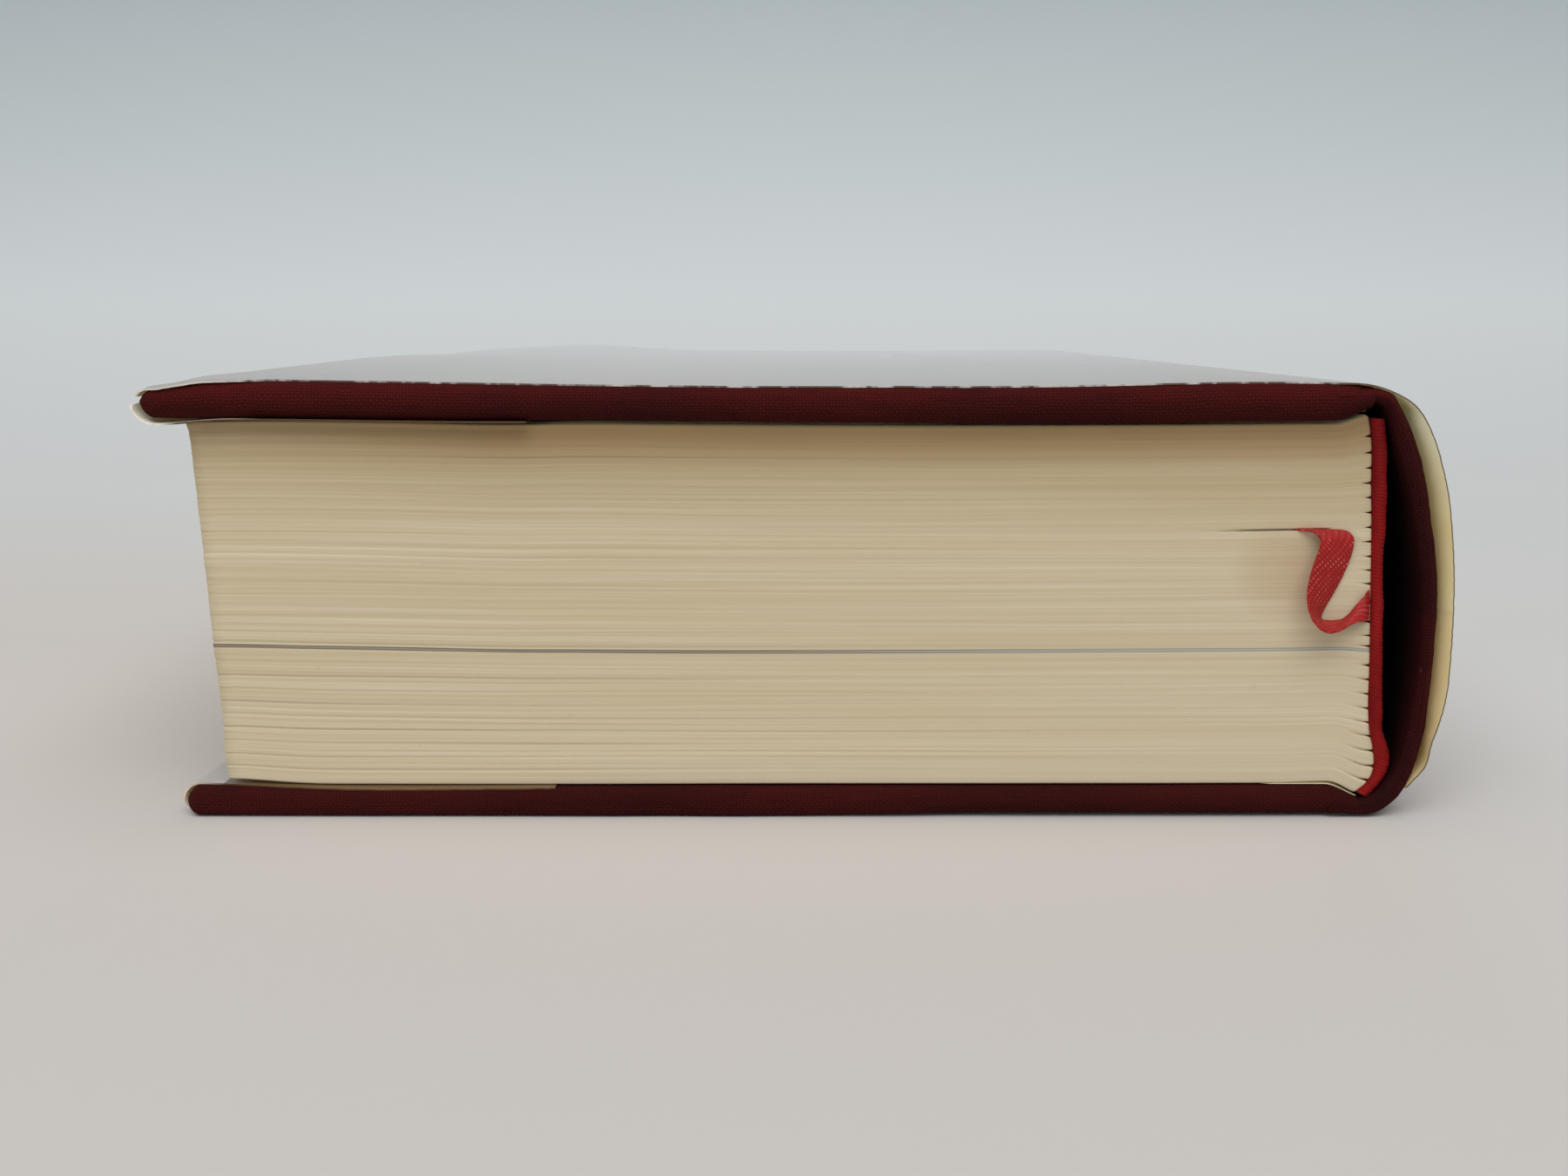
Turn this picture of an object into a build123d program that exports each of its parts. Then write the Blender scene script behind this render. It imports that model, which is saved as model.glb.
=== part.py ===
"""Case-bound hardcover book with a paper dust jacket, lying on its back cover.

Frame: origin at the middle of the underside, +X towards the spine,
+Y from head to tail, +Z up out of the front cover.  Millimetres.
"""

import os
from math import hypot

from build123d import *

os.makedirs("parts", exist_ok=True)

# ---------------------------------------------------------------- dimensions
# boards
board_height = 217.2  # head to tail, without cloth
board_width = 141.4  # fore-edge to joint
board_thick = 2.9
board_round = 1.2  # rounding of every board edge
joint_bevel_w = 4.0  # the inner corner beside the joint is eased
joint_bevel_h = 0.3

# covering materials
cloth_thick = 0.4
turn_in = 15.0  # cloth folded over onto the inside of the boards
paper_thick = 0.15  # endpapers
jacket_thick = 0.2
jacket_height = 217.6
flap_front_end = -31.7  # free edge of the front flap
flap_rear_end = -29.5  # free edge of the rear flap
edge_margin = 3.2  # cloth left showing round each pastedown

# heights of the stack, from the table up
cover_thick = 4.3  # board, cloth, pastedown, jacket and flap together
page_clear = 0.3  # air between the covers and the leaves
leaf_low = cover_thick + page_clear
leaf_high = 47.4
top_z = leaf_high + page_clear + cover_thick  # 52.0

# the two covers are shifted by the lean of the book
front_board_x0 = -76.1  # fore-edge end of the front board
rear_board_x0 = -74.0  # fore-edge end of the rear board
front_board_x1 = front_board_x0 + board_width
rear_board_x1 = rear_board_x0 + board_width

# leaves
page_height = 210.6
fore_top_x, fore_low_x = -72.6, -70.2  # the block leans with the covers

# spine line of the leaves, from the front cover down to the rear cover
leaf_spine = [
    (67.1, 47.25),
    (67.6, 41.0),
    (68.1, 33.0),
    (68.6, 24.0),
    (69.1, 14.0),
    (69.7, 8.0),
    (69.6, 5.8),
    (69.3, 4.75),
]

# outer line of the cloth spine, from the front joint to the rear joint
cloth_line = [
    (65.6, 51.55),
    (67.4, 51.2),
    (68.7, 50.5),
    (69.7, 49.1),
    (70.8, 47.1),
    (72.0, 44.0),
    (73.3, 39.3),
    (74.2, 34.8),
    (75.0, 30.0),
    (75.3, 25.0),
    (75.3, 20.3),
    (75.15, 15.5),
    (74.8, 10.8),
    (74.1, 7.4),
    (73.1, 4.2),
    (71.8, 2.1),
    (70.3, 0.9),
    (69.1, 0.5),
    (67.8, 0.35),
]

# outer line of the jacket where it bows round the spine
jacket_line = [
    (65.6, 52.0),
    (67.2, 51.85),
    (68.6, 51.45),
    (69.9, 50.8),
    (71.0, 49.9),
    (71.9, 48.7),
    (72.9, 47.0),
    (74.1, 44.0),
    (75.3, 39.8),
    (76.1, 35.9),
    (76.65, 31.8),
    (76.95, 27.6),
    (77.05, 23.0),
    (77.0, 18.2),
    (76.75, 13.4),
    (76.2, 10.2),
    (75.4, 7.2),
    (74.2, 4.4),
    (72.6, 2.0),
    (70.9, 0.7),
    (69.3, 0.15),
    (67.8, 0.0),
]

# spine strip of card inside the cloth
inlay_thick = 0.8
inlay_low_z, inlay_high_z = 5.0, 47.0

# head and tail bands
band_thick = 1.7
band_bead = 2.2  # height of the bead along the spine, head to tail
band_proud = 0.7  # how far the bead stands beyond the leaves
tape_thick = 0.4
tape_len = 13.0

# ribbon marker
ribbon_width = 5.0
ribbon_thick = 0.3
ribbon_slot_x = 63.4  # middle of the ribbon where it lies between the leaves
ribbon_slot_z = 34.7
ribbon_end_y = 70.0  # hidden end between the leaves
ribbon_glue_z = (24.3, 28.3)  # where it comes off the spine
ribbon_glue_x = 68.8


# ---------------------------------------------------------------- helpers
def offset_line(points, d):
    """Points moved by d to the outside (towards +X) of a line that runs down the spine."""
    out = []
    for i, (x, z) in enumerate(points):
        xa, za = points[max(i - 1, 0)]
        xb, zb = points[min(i + 1, len(points) - 1)]
        tx, tz = xb - xa, zb - za
        n = hypot(tx, tz)
        out.append((x - d * tz / n, z + d * tx / n))
    return out


def trim_line(points, low, high):
    """The part of a falling line between two heights, with its ends put on those heights."""
    out = []
    for (xa, za), (xb, zb) in zip(points, points[1:]):
        for z in (high, low):
            if min(za, zb) < z < max(za, zb):
                t = (z - za) / (zb - za)
                out.append((xa + t * (xb - xa), z))
        if low < zb < high:
            out.append((xb, zb))
    out = [p for p in out if low <= p[1] <= high]
    return sorted(out, key=lambda p: -p[1])


half_b = board_height / 2
half_case = half_b + cloth_thick
half_p = page_height / 2
half_j = jacket_height / 2
inlay_line = trim_line(cloth_line, inlay_low_z, inlay_high_z)


# ---------------------------------------------------------------- leaves
with BuildPart() as text_block:
    with BuildSketch(Plane.XZ):
        with BuildLine():
            spine_edge = Spline([(x, z) for x, z in leaf_spine])
            Polyline(
                spine_edge @ 1,
                (fore_low_x, leaf_low + paper_thick),
                (fore_top_x, leaf_high - paper_thick),
                spine_edge @ 0,
            )
        make_face()
        with Locations((ribbon_slot_x, ribbon_slot_z)):
            Rectangle(ribbon_width + 0.4, ribbon_thick + 0.2, mode=Mode.SUBTRACT)
    extrude(amount=half_p, both=True)
text_block.part.label = "text_block"
export_step(text_block.part, "parts/text_block.step")

# free endpapers, on the front and the back of the leaves
with BuildPart() as front_flyleaf:
    with BuildSketch(Plane.XY.offset(leaf_high - paper_thick)):
        with Locations(((fore_top_x + 66.4) / 2, 0)):
            Rectangle(66.4 - fore_top_x, page_height)
    extrude(amount=paper_thick)
front_flyleaf.part.label = "front_flyleaf"
export_step(front_flyleaf.part, "parts/front_flyleaf.step")

with BuildPart() as rear_flyleaf:
    with BuildSketch(Plane.XY.offset(leaf_low)):
        with Locations(((fore_low_x + 68.4) / 2, 0)):
            Rectangle(68.4 - fore_low_x, page_height)
    extrude(amount=paper_thick)
rear_flyleaf.part.label = "rear_flyleaf"
export_step(rear_flyleaf.part, "parts/rear_flyleaf.step")

# ---------------------------------------------------------------- spine of the leaves
lining_line = trim_line(leaf_spine, 6.0, 46.6)
band_line = trim_line(leaf_spine, 5.2, 46.9)

with BuildPart() as spine_lining:
    with BuildSketch(Plane.XZ):
        with BuildLine():
            inner = Spline(offset_line(lining_line, 0.05))
            outer = Spline(offset_line(lining_line, 0.05 + tape_thick))
            Line(inner @ 0, outer @ 0)
            Line(inner @ 1, outer @ 1)
        make_face()
    extrude(amount=half_p + band_proud - band_bead - tape_len - 0.2, both=True)
spine_lining.part.label = "spine_lining"
export_step(spine_lining.part, "parts/spine_lining.step")

bead_end = half_p + band_proud
bead_start = bead_end - band_bead
tape_end = bead_start - tape_len


# head band: a sewn bead on a tape, notched where the ribbon passes under it
with BuildPart() as headband:
    with BuildSketch(Plane.XZ.offset(bead_start)):
        with BuildLine():
            inner = Spline(offset_line(band_line, 0.05))
            outer = Spline(offset_line(band_line, 0.05 + band_thick))
            Line(inner @ 0, outer @ 0)
            Line(inner @ 1, outer @ 1)
        make_face()
    extrude(amount=band_bead)
    with BuildSketch(Plane.XZ.offset(tape_end)):
        with BuildLine():
            inner = Spline(offset_line(band_line, 0.05))
            outer = Spline(offset_line(band_line, 0.05 + tape_thick))
            Line(inner @ 0, outer @ 0)
            Line(inner @ 1, outer @ 1)
        make_face()
    extrude(amount=tape_len)
    with BuildSketch(Plane.XZ.offset(tape_end - 1)):
        with Locations((ribbon_glue_x + 0.02, sum(ribbon_glue_z) / 2)):
            Rectangle(0.7, ribbon_glue_z[1] - ribbon_glue_z[0] + 0.4)
    extrude(amount=bead_end - tape_end + 2, mode=Mode.SUBTRACT)
headband.part.label = "headband"
export_step(headband.part, "parts/headband.step")

with BuildPart() as tailband:
    with BuildSketch(Plane.XZ.offset(-bead_start)):
        with BuildLine():
            inner = Spline(offset_line(band_line, 0.05))
            outer = Spline(offset_line(band_line, 0.05 + band_thick))
            Line(inner @ 0, outer @ 0)
            Line(inner @ 1, outer @ 1)
        make_face()
    extrude(amount=-band_bead)
    with BuildSketch(Plane.XZ.offset(-tape_end)):
        with BuildLine():
            inner = Spline(offset_line(band_line, 0.05))
            outer = Spline(offset_line(band_line, 0.05 + tape_thick))
            Line(inner @ 0, outer @ 0)
            Line(inner @ 1, outer @ 1)
        make_face()
    extrude(amount=-tape_len)
tailband.part.label = "tailband"
export_step(tailband.part, "parts/tailband.step")

# ---------------------------------------------------------------- ribbon marker
# glued to the spine at the head, a slack loop in front of the leaves, then
# between the leaves along the gutter
loop_y = half_p + 0.9  # distance of the loop's front face from the middle
loop_outline = [
    (60.5, 34.85),
    (66.0, 34.85),
    (65.7, 32.4),
    (65.0, 30.5),
    (63.7, 28.5),
    (62.6, 26.6),
    (62.3, 25.7),
    (63.6, 25.5),
    (65.4, 25.8),
    (66.2, 27.6),
    (67.4, 28.3),
    (68.95, 28.3),
    (68.95, 24.3),
    (67.6, 24.4),
    (66.2, 24.3),
    (64.4, 23.7),
    (62.6, 23.9),
    (61.2, 25.3),
    (60.5, 27.3),
    (60.4, 29.2),
    (61.0, 31.2),
    (61.4, 33.0),
]
with BuildPart() as ribbon_marker:
    with BuildSketch(Plane.XZ.offset(loop_y - ribbon_thick)):
        with BuildLine():
            Polyline(loop_outline, close=True)
        make_face()
    extrude(amount=ribbon_thick)
    with BuildSketch(Plane.XZ.offset(loop_y)):
        with Locations((ribbon_slot_x, ribbon_slot_z)):
            Rectangle(ribbon_width, ribbon_thick)
    extrude(amount=-(loop_y + ribbon_end_y))
    with BuildSketch(Plane.XZ.offset(loop_y)):
        with Locations((ribbon_glue_x, sum(ribbon_glue_z) / 2)):
            Rectangle(ribbon_thick, ribbon_glue_z[1] - ribbon_glue_z[0])
    extrude(amount=-(loop_y - tape_end))
ribbon_marker.part.label = "ribbon_marker"
export_step(ribbon_marker.part, "parts/ribbon_marker.step")


# ---------------------------------------------------------------- boards
def cover_core(x0, x1, z0, z1, bevel_up):
    """Outline of a cover board, shrunk by the rounding of its edges."""
    r = board_round
    a, b, lo, hi = x0 + r, x1 - r, z0 + r, z1 - r
    if bevel_up:
        points = [(a, lo), (b, lo), (b, hi - joint_bevel_h), (b - joint_bevel_w, hi), (a, hi)]
    else:
        points = [(a, lo), (b - joint_bevel_w, lo), (b, lo + joint_bevel_h), (b, hi), (a, hi)]
    return points


front_z0 = leaf_high + page_clear + jacket_thick + 0.05 + paper_thick + cloth_thick
front_z1 = front_z0 + board_thick
rear_z0 = jacket_thick + cloth_thick
rear_z1 = rear_z0 + board_thick

with BuildPart() as front_board:
    with BuildSketch(Plane.XZ):
        with BuildLine():
            Polyline(cover_core(front_board_x0, front_board_x1, front_z0, front_z1, False), close=True)
        make_face()
    extrude(amount=half_b - board_round, both=True)
    offset(amount=board_round, kind=Kind.ARC, mode=Mode.REPLACE)
front_board.part.label = "front_board"
export_step(front_board.part, "parts/front_board.step")

with BuildPart() as rear_board:
    with BuildSketch(Plane.XZ):
        with BuildLine():
            Polyline(cover_core(rear_board_x0, rear_board_x1, rear_z0, rear_z1, True), close=True)
        make_face()
    extrude(amount=half_b - board_round, both=True)
    offset(amount=board_round, kind=Kind.ARC, mode=Mode.REPLACE)
rear_board.part.label = "rear_board"
export_step(rear_board.part, "parts/rear_board.step")

# ---------------------------------------------------------------- cloth on the boards
# each cloth is wrapped round three edges of its board and turned in on the inside
with BuildPart() as front_cloth:
    with BuildSketch(Plane.XZ):
        with BuildLine():
            Polyline(cover_core(front_board_x0, front_board_x1, front_z0, front_z1, False), close=True)
        make_face()
    extrude(amount=half_b - board_round, both=True)
    offset(amount=board_round + cloth_thick, kind=Kind.ARC, mode=Mode.REPLACE)
    add(front_board.part, mode=Mode.SUBTRACT)
    with BuildSketch(Plane.XY.offset(front_z0 - 1)):
        with Locations(((front_board_x0 - cloth_thick + turn_in + 80) / 2, 0)):
            Rectangle(80 - (front_board_x0 - cloth_thick + turn_in), 2 * (half_case - turn_in))
    extrude(amount=1 + board_thick / 2, mode=Mode.SUBTRACT)
    with BuildSketch(Plane.YZ.offset(front_board_x1 - 0.05)):
        with Locations((0, front_z0)):
            Rectangle(2 * half_case + 10, 20)
    extrude(amount=10, mode=Mode.SUBTRACT)
front_cloth.part.label = "front_cloth"
export_step(front_cloth.part, "parts/front_cloth.step")

with BuildPart() as rear_cloth:
    with BuildSketch(Plane.XZ):
        with BuildLine():
            Polyline(cover_core(rear_board_x0, rear_board_x1, rear_z0, rear_z1, True), close=True)
        make_face()
    extrude(amount=half_b - board_round, both=True)
    offset(amount=board_round + cloth_thick, kind=Kind.ARC, mode=Mode.REPLACE)
    add(rear_board.part, mode=Mode.SUBTRACT)
    with BuildSketch(Plane.XY.offset(rear_z1 + 1)):
        with Locations(((rear_board_x0 - cloth_thick + turn_in + 80) / 2, 0)):
            Rectangle(80 - (rear_board_x0 - cloth_thick + turn_in), 2 * (half_case - turn_in))
    extrude(amount=-(1 + board_thick / 2), mode=Mode.SUBTRACT)
    with BuildSketch(Plane.YZ.offset(rear_board_x1 - 0.05)):
        with Locations((0, rear_z0)):
            Rectangle(2 * half_case + 10, 20)
    extrude(amount=10, mode=Mode.SUBTRACT)
rear_cloth.part.label = "rear_cloth"
export_step(rear_cloth.part, "parts/rear_cloth.step")

# ---------------------------------------------------------------- pastedowns
# one sheet each, stepped where it climbs from the board onto the turned-in cloth
paste_y = half_case - edge_margin
window_y = half_case - turn_in

with BuildPart() as front_pastedown:
    rim_x0 = front_board_x0 - cloth_thick + edge_margin
    win_x0 = front_board_x0 - cloth_thick + turn_in
    end_x = front_board_x1 - board_round - joint_bevel_w
    with BuildSketch(Plane.XY.offset(front_z0 - cloth_thick - paper_thick)):
        with Locations(((rim_x0 + end_x) / 2, 0)):
            Rectangle(end_x - rim_x0, 2 * paste_y)
    extrude(amount=paper_thick)
    with BuildSketch(Plane.XY.offset(front_z0 - cloth_thick - paper_thick)):
        with Locations(((win_x0 + end_x) / 2, 0)):
            Rectangle(end_x - win_x0, 2 * window_y)
    extrude(amount=cloth_thick + paper_thick)
    with BuildSketch(Plane.XY.offset(front_z0 - cloth_thick - paper_thick)):
        with Locations(((win_x0 + paper_thick + end_x + 1) / 2, 0)):
            Rectangle(end_x + 1 - win_x0 - paper_thick, 2 * (window_y - paper_thick))
    extrude(amount=cloth_thick, mode=Mode.SUBTRACT)
front_pastedown.part.label = "front_pastedown"
export_step(front_pastedown.part, "parts/front_pastedown.step")

with BuildPart() as rear_pastedown:
    rim_x0 = rear_board_x0 - cloth_thick + edge_margin
    win_x0 = rear_board_x0 - cloth_thick + turn_in
    end_x = rear_board_x1 - board_round - joint_bevel_w
    with BuildSketch(Plane.XY.offset(rear_z1 + cloth_thick + paper_thick)):
        with Locations(((rim_x0 + end_x) / 2, 0)):
            Rectangle(end_x - rim_x0, 2 * paste_y)
    extrude(amount=-paper_thick)
    with BuildSketch(Plane.XY.offset(rear_z1 + cloth_thick + paper_thick)):
        with Locations(((win_x0 + end_x) / 2, 0)):
            Rectangle(end_x - win_x0, 2 * window_y)
    extrude(amount=-(cloth_thick + paper_thick))
    with BuildSketch(Plane.XY.offset(rear_z1 + cloth_thick + paper_thick)):
        with Locations(((win_x0 + paper_thick + end_x + 1) / 2, 0)):
            Rectangle(end_x + 1 - win_x0 - paper_thick, 2 * (window_y - paper_thick))
    extrude(amount=-cloth_thick, mode=Mode.SUBTRACT)
rear_pastedown.part.label = "rear_pastedown"
export_step(rear_pastedown.part, "parts/rear_pastedown.step")

# ---------------------------------------------------------------- spine of the case
with BuildPart() as spine_inlay:
    with BuildSketch(Plane.XZ):
        with BuildLine():
            outer = Spline(offset_line(inlay_line, -(cloth_thick + 0.02)))
            inner = Spline(offset_line(inlay_line, -(cloth_thick + 0.02 + inlay_thick)))
            Line(inner @ 0, outer @ 0)
            Line(inner @ 1, outer @ 1)
        make_face()
    extrude(amount=half_case - cloth_thick - 0.05, both=True)
spine_inlay.part.label = "spine_inlay"
export_step(spine_inlay.part, "parts/spine_inlay.step")

# one length of cloth across the spine and both joints, turned in at head and tail
fold_in = cloth_thick + 0.04 + inlay_thick
with BuildPart() as spine_cloth:
    with BuildSketch(Plane.XZ):
        with BuildLine():
            outer = Spline(cloth_line)
            inner = Spline(offset_line(cloth_line, -cloth_thick))
            Line(inner @ 0, outer @ 0)
            Line(inner @ 1, outer @ 1)
        make_face()
    extrude(amount=half_case, both=True)
    for start, depth in (
        (half_case - cloth_thick, cloth_thick),
        (-half_case, cloth_thick),
    ):
        with BuildSketch(Plane.XZ.offset(start)):
            with BuildLine():
                outer = Spline(offset_line(inlay_line, -cloth_thick / 2))
                inner = Spline(offset_line(inlay_line, -(fold_in + cloth_thick)))
                Line(inner @ 0, outer @ 0)
                Line(inner @ 1, outer @ 1)
            make_face()
        extrude(amount=depth)
    for start, depth in ((half_case - turn_in, turn_in), (-half_case, turn_in)):
        with BuildSketch(Plane.XZ.offset(start)):
            with BuildLine():
                outer = Spline(offset_line(inlay_line, -fold_in))
                inner = Spline(offset_line(inlay_line, -(fold_in + cloth_thick)))
                Line(inner @ 0, outer @ 0)
                Line(inner @ 1, outer @ 1)
            make_face()
        extrude(amount=depth)
spine_cloth.part.label = "spine_cloth"
export_step(spine_cloth.part, "parts/spine_cloth.step")

# ---------------------------------------------------------------- dust jacket
wrap_mid_front = top_z - cover_thick / 2
wrap_mid_rear = cover_thick / 2
wrap_r = cover_thick / 2
fold_r = wrap_r - jacket_thick
front_wrap_x = front_board_x0 + board_round
rear_wrap_x = rear_board_x0 + board_round


with BuildPart() as jacket_front:
    with BuildSketch(Plane.XZ):
        with BuildLine():
            panel = Line((65.4, wrap_mid_front + wrap_r), (front_wrap_x, wrap_mid_front + wrap_r))
            fold = ThreePointArc(
                panel @ 1, (front_wrap_x - wrap_r, wrap_mid_front), (front_wrap_x, wrap_mid_front - wrap_r)
            )
            flap = Line(fold @ 1, (flap_front_end, wrap_mid_front - wrap_r))
            flap_edge = Line(flap @ 1, (flap_front_end, wrap_mid_front - fold_r))
            flap_back = Line(flap_edge @ 1, (front_wrap_x, wrap_mid_front - fold_r))
            fold_back = ThreePointArc(
                flap_back @ 1, (front_wrap_x - fold_r, wrap_mid_front), (front_wrap_x, wrap_mid_front + fold_r)
            )
            panel_back = Line(fold_back @ 1, (65.4, wrap_mid_front + fold_r))
            Line(panel_back @ 1, panel @ 0)
        make_face()
    extrude(amount=half_j, both=True)
jacket_front.part.label = "jacket_front"
export_step(jacket_front.part, "parts/jacket_front.step")

with BuildPart() as jacket_rear:
    with BuildSketch(Plane.XZ):
        with BuildLine():
            panel = Line((67.6, wrap_mid_rear - wrap_r), (rear_wrap_x, wrap_mid_rear - wrap_r))
            fold = ThreePointArc(
                panel @ 1, (rear_wrap_x - wrap_r, wrap_mid_rear), (rear_wrap_x, wrap_mid_rear + wrap_r)
            )
            flap = Line(fold @ 1, (flap_rear_end, wrap_mid_rear + wrap_r))
            flap_edge = Line(flap @ 1, (flap_rear_end, wrap_mid_rear + fold_r))
            flap_back = Line(flap_edge @ 1, (rear_wrap_x, wrap_mid_rear + fold_r))
            fold_back = ThreePointArc(
                flap_back @ 1, (rear_wrap_x - fold_r, wrap_mid_rear), (rear_wrap_x, wrap_mid_rear - fold_r)
            )
            panel_back = Line(fold_back @ 1, (67.6, wrap_mid_rear - fold_r))
            Line(panel_back @ 1, panel @ 0)
        make_face()
    extrude(amount=half_j, both=True)
jacket_rear.part.label = "jacket_rear"
export_step(jacket_rear.part, "parts/jacket_rear.step")

with BuildPart() as jacket_spine:
    with BuildSketch(Plane.XZ):
        with BuildLine():
            outer = Spline(jacket_line)
            inner = Spline(offset_line(jacket_line, -jacket_thick))
            Line(inner @ 0, outer @ 0)
            Line(inner @ 1, outer @ 1)
        make_face()
    extrude(amount=half_j, both=True)
jacket_spine.part.label = "jacket_spine"
export_step(jacket_spine.part, "parts/jacket_spine.step")
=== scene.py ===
"""Looks of a case-bound hardcover book with a plain paper dust jacket.

Same frame as the solids: +X to the spine, +Y from head to tail, +Z up.
All shapes below are written in millimetres and turned into metres when a mesh is made.
"""
import math

import bpy
import numpy as np
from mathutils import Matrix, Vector


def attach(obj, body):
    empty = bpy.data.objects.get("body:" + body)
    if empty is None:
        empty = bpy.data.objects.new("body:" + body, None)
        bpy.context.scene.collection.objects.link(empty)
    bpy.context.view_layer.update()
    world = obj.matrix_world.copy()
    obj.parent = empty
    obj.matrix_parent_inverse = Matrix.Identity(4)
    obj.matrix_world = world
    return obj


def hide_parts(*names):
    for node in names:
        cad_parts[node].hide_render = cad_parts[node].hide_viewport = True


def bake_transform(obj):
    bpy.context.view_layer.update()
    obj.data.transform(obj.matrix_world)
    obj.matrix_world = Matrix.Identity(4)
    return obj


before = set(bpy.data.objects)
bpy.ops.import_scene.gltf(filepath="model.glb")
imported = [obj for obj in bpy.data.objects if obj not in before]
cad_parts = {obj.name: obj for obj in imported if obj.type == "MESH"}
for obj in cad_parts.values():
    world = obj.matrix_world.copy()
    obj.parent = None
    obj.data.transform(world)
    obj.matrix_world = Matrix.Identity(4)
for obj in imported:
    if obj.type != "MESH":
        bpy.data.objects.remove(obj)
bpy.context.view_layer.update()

MM = 0.001
scene = bpy.context.scene


# ------------------------------------------------------------------ small tools
def smooth(a, b, x):
    t = np.clip((np.asarray(x, float) - a) / (b - a), 0.0, 1.0)
    return t * t * (3 - 2 * t)


def lerp_table(table, x):
    xs, ys = zip(*table)
    return np.interp(x, xs, ys)


def soft_table(table, x):
    """Smooth interpolation through a table of (x, value)."""
    pts = curve(table, 400)
    order = np.argsort(pts[:, 0])
    return np.interp(x, pts[order, 0], pts[order, 1])


def curve(points, n):
    """n points evenly spaced along a smooth line through the given points."""
    p = np.array(points, float)
    t = np.concatenate([[0], np.cumsum(np.linalg.norm(np.diff(p, axis=0), axis=1))])
    m = np.zeros_like(p)
    for i in range(len(p)):
        if i == 0:
            m[i] = (p[1] - p[0]) / (t[1] - t[0])
        elif i == len(p) - 1:
            m[i] = (p[-1] - p[-2]) / (t[-1] - t[-2])
        else:
            a, b = t[i] - t[i - 1], t[i + 1] - t[i]
            m[i] = ((p[i] - p[i - 1]) / a * b + (p[i + 1] - p[i]) / b * a) / (a + b)
    q = np.linspace(0, t[-1], 40 * len(p))
    k = np.clip(np.searchsorted(t, q, side="right") - 1, 0, len(p) - 2)
    h = t[k + 1] - t[k]
    s = ((q - t[k]) / h)[:, None]
    h = h[:, None]
    out = (
        (2 * s**3 - 3 * s**2 + 1) * p[k]
        + (s**3 - 2 * s**2 + s) * h * m[k]
        + (-2 * s**3 + 3 * s**2) * p[k + 1]
        + (s**3 - s**2) * h * m[k + 1]
    )
    d = np.concatenate([[0], np.cumsum(np.linalg.norm(np.diff(out, axis=0), axis=1))])
    w = np.linspace(0, d[-1], n)
    return np.stack([np.interp(w, d, out[:, c]) for c in range(p.shape[1])], axis=1)


def lengths(points):
    return np.concatenate(
        [[0], np.cumsum(np.linalg.norm(np.diff(points, axis=0), axis=1))]
    )


def value_noise(seed, n, across, m=None):
    """Rows of smooth noise: n rows, each a line through random values at `across` places, read at m places."""
    r = np.random.RandomState(seed)
    knots = r.uniform(-1, 1, (n, across))
    m = m or across
    pos = np.linspace(0, across - 1, m)
    k = np.clip(pos.astype(int), 0, across - 2)
    f = pos - k
    f = f * f * (3 - 2 * f)
    return knots[:, k] * (1 - f) + knots[:, k + 1] * f


def wobble(seed, x, y, size):
    """Smooth noise over a plane, from -1 to 1, with features about `size` long."""
    r = np.random.RandomState(seed)
    g = r.uniform(-1, 1, (64, 64))
    a, b = np.asarray(x) / size + 31.3, np.asarray(y) / size + 29.7
    ia, ib = np.floor(a).astype(int), np.floor(b).astype(int)
    fa, fb = a - ia, b - ib
    fa, fb = fa * fa * (3 - 2 * fa), fb * fb * (3 - 2 * fb)
    ia, ib = ia % 64, ib % 64
    ja, jb = (ia + 1) % 64, (ib + 1) % 64
    return (g[ia, ib] * (1 - fa) + g[ja, ib] * fa) * (1 - fb) + (
        g[ia, jb] * (1 - fa) + g[ja, jb] * fa
    ) * fb


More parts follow.
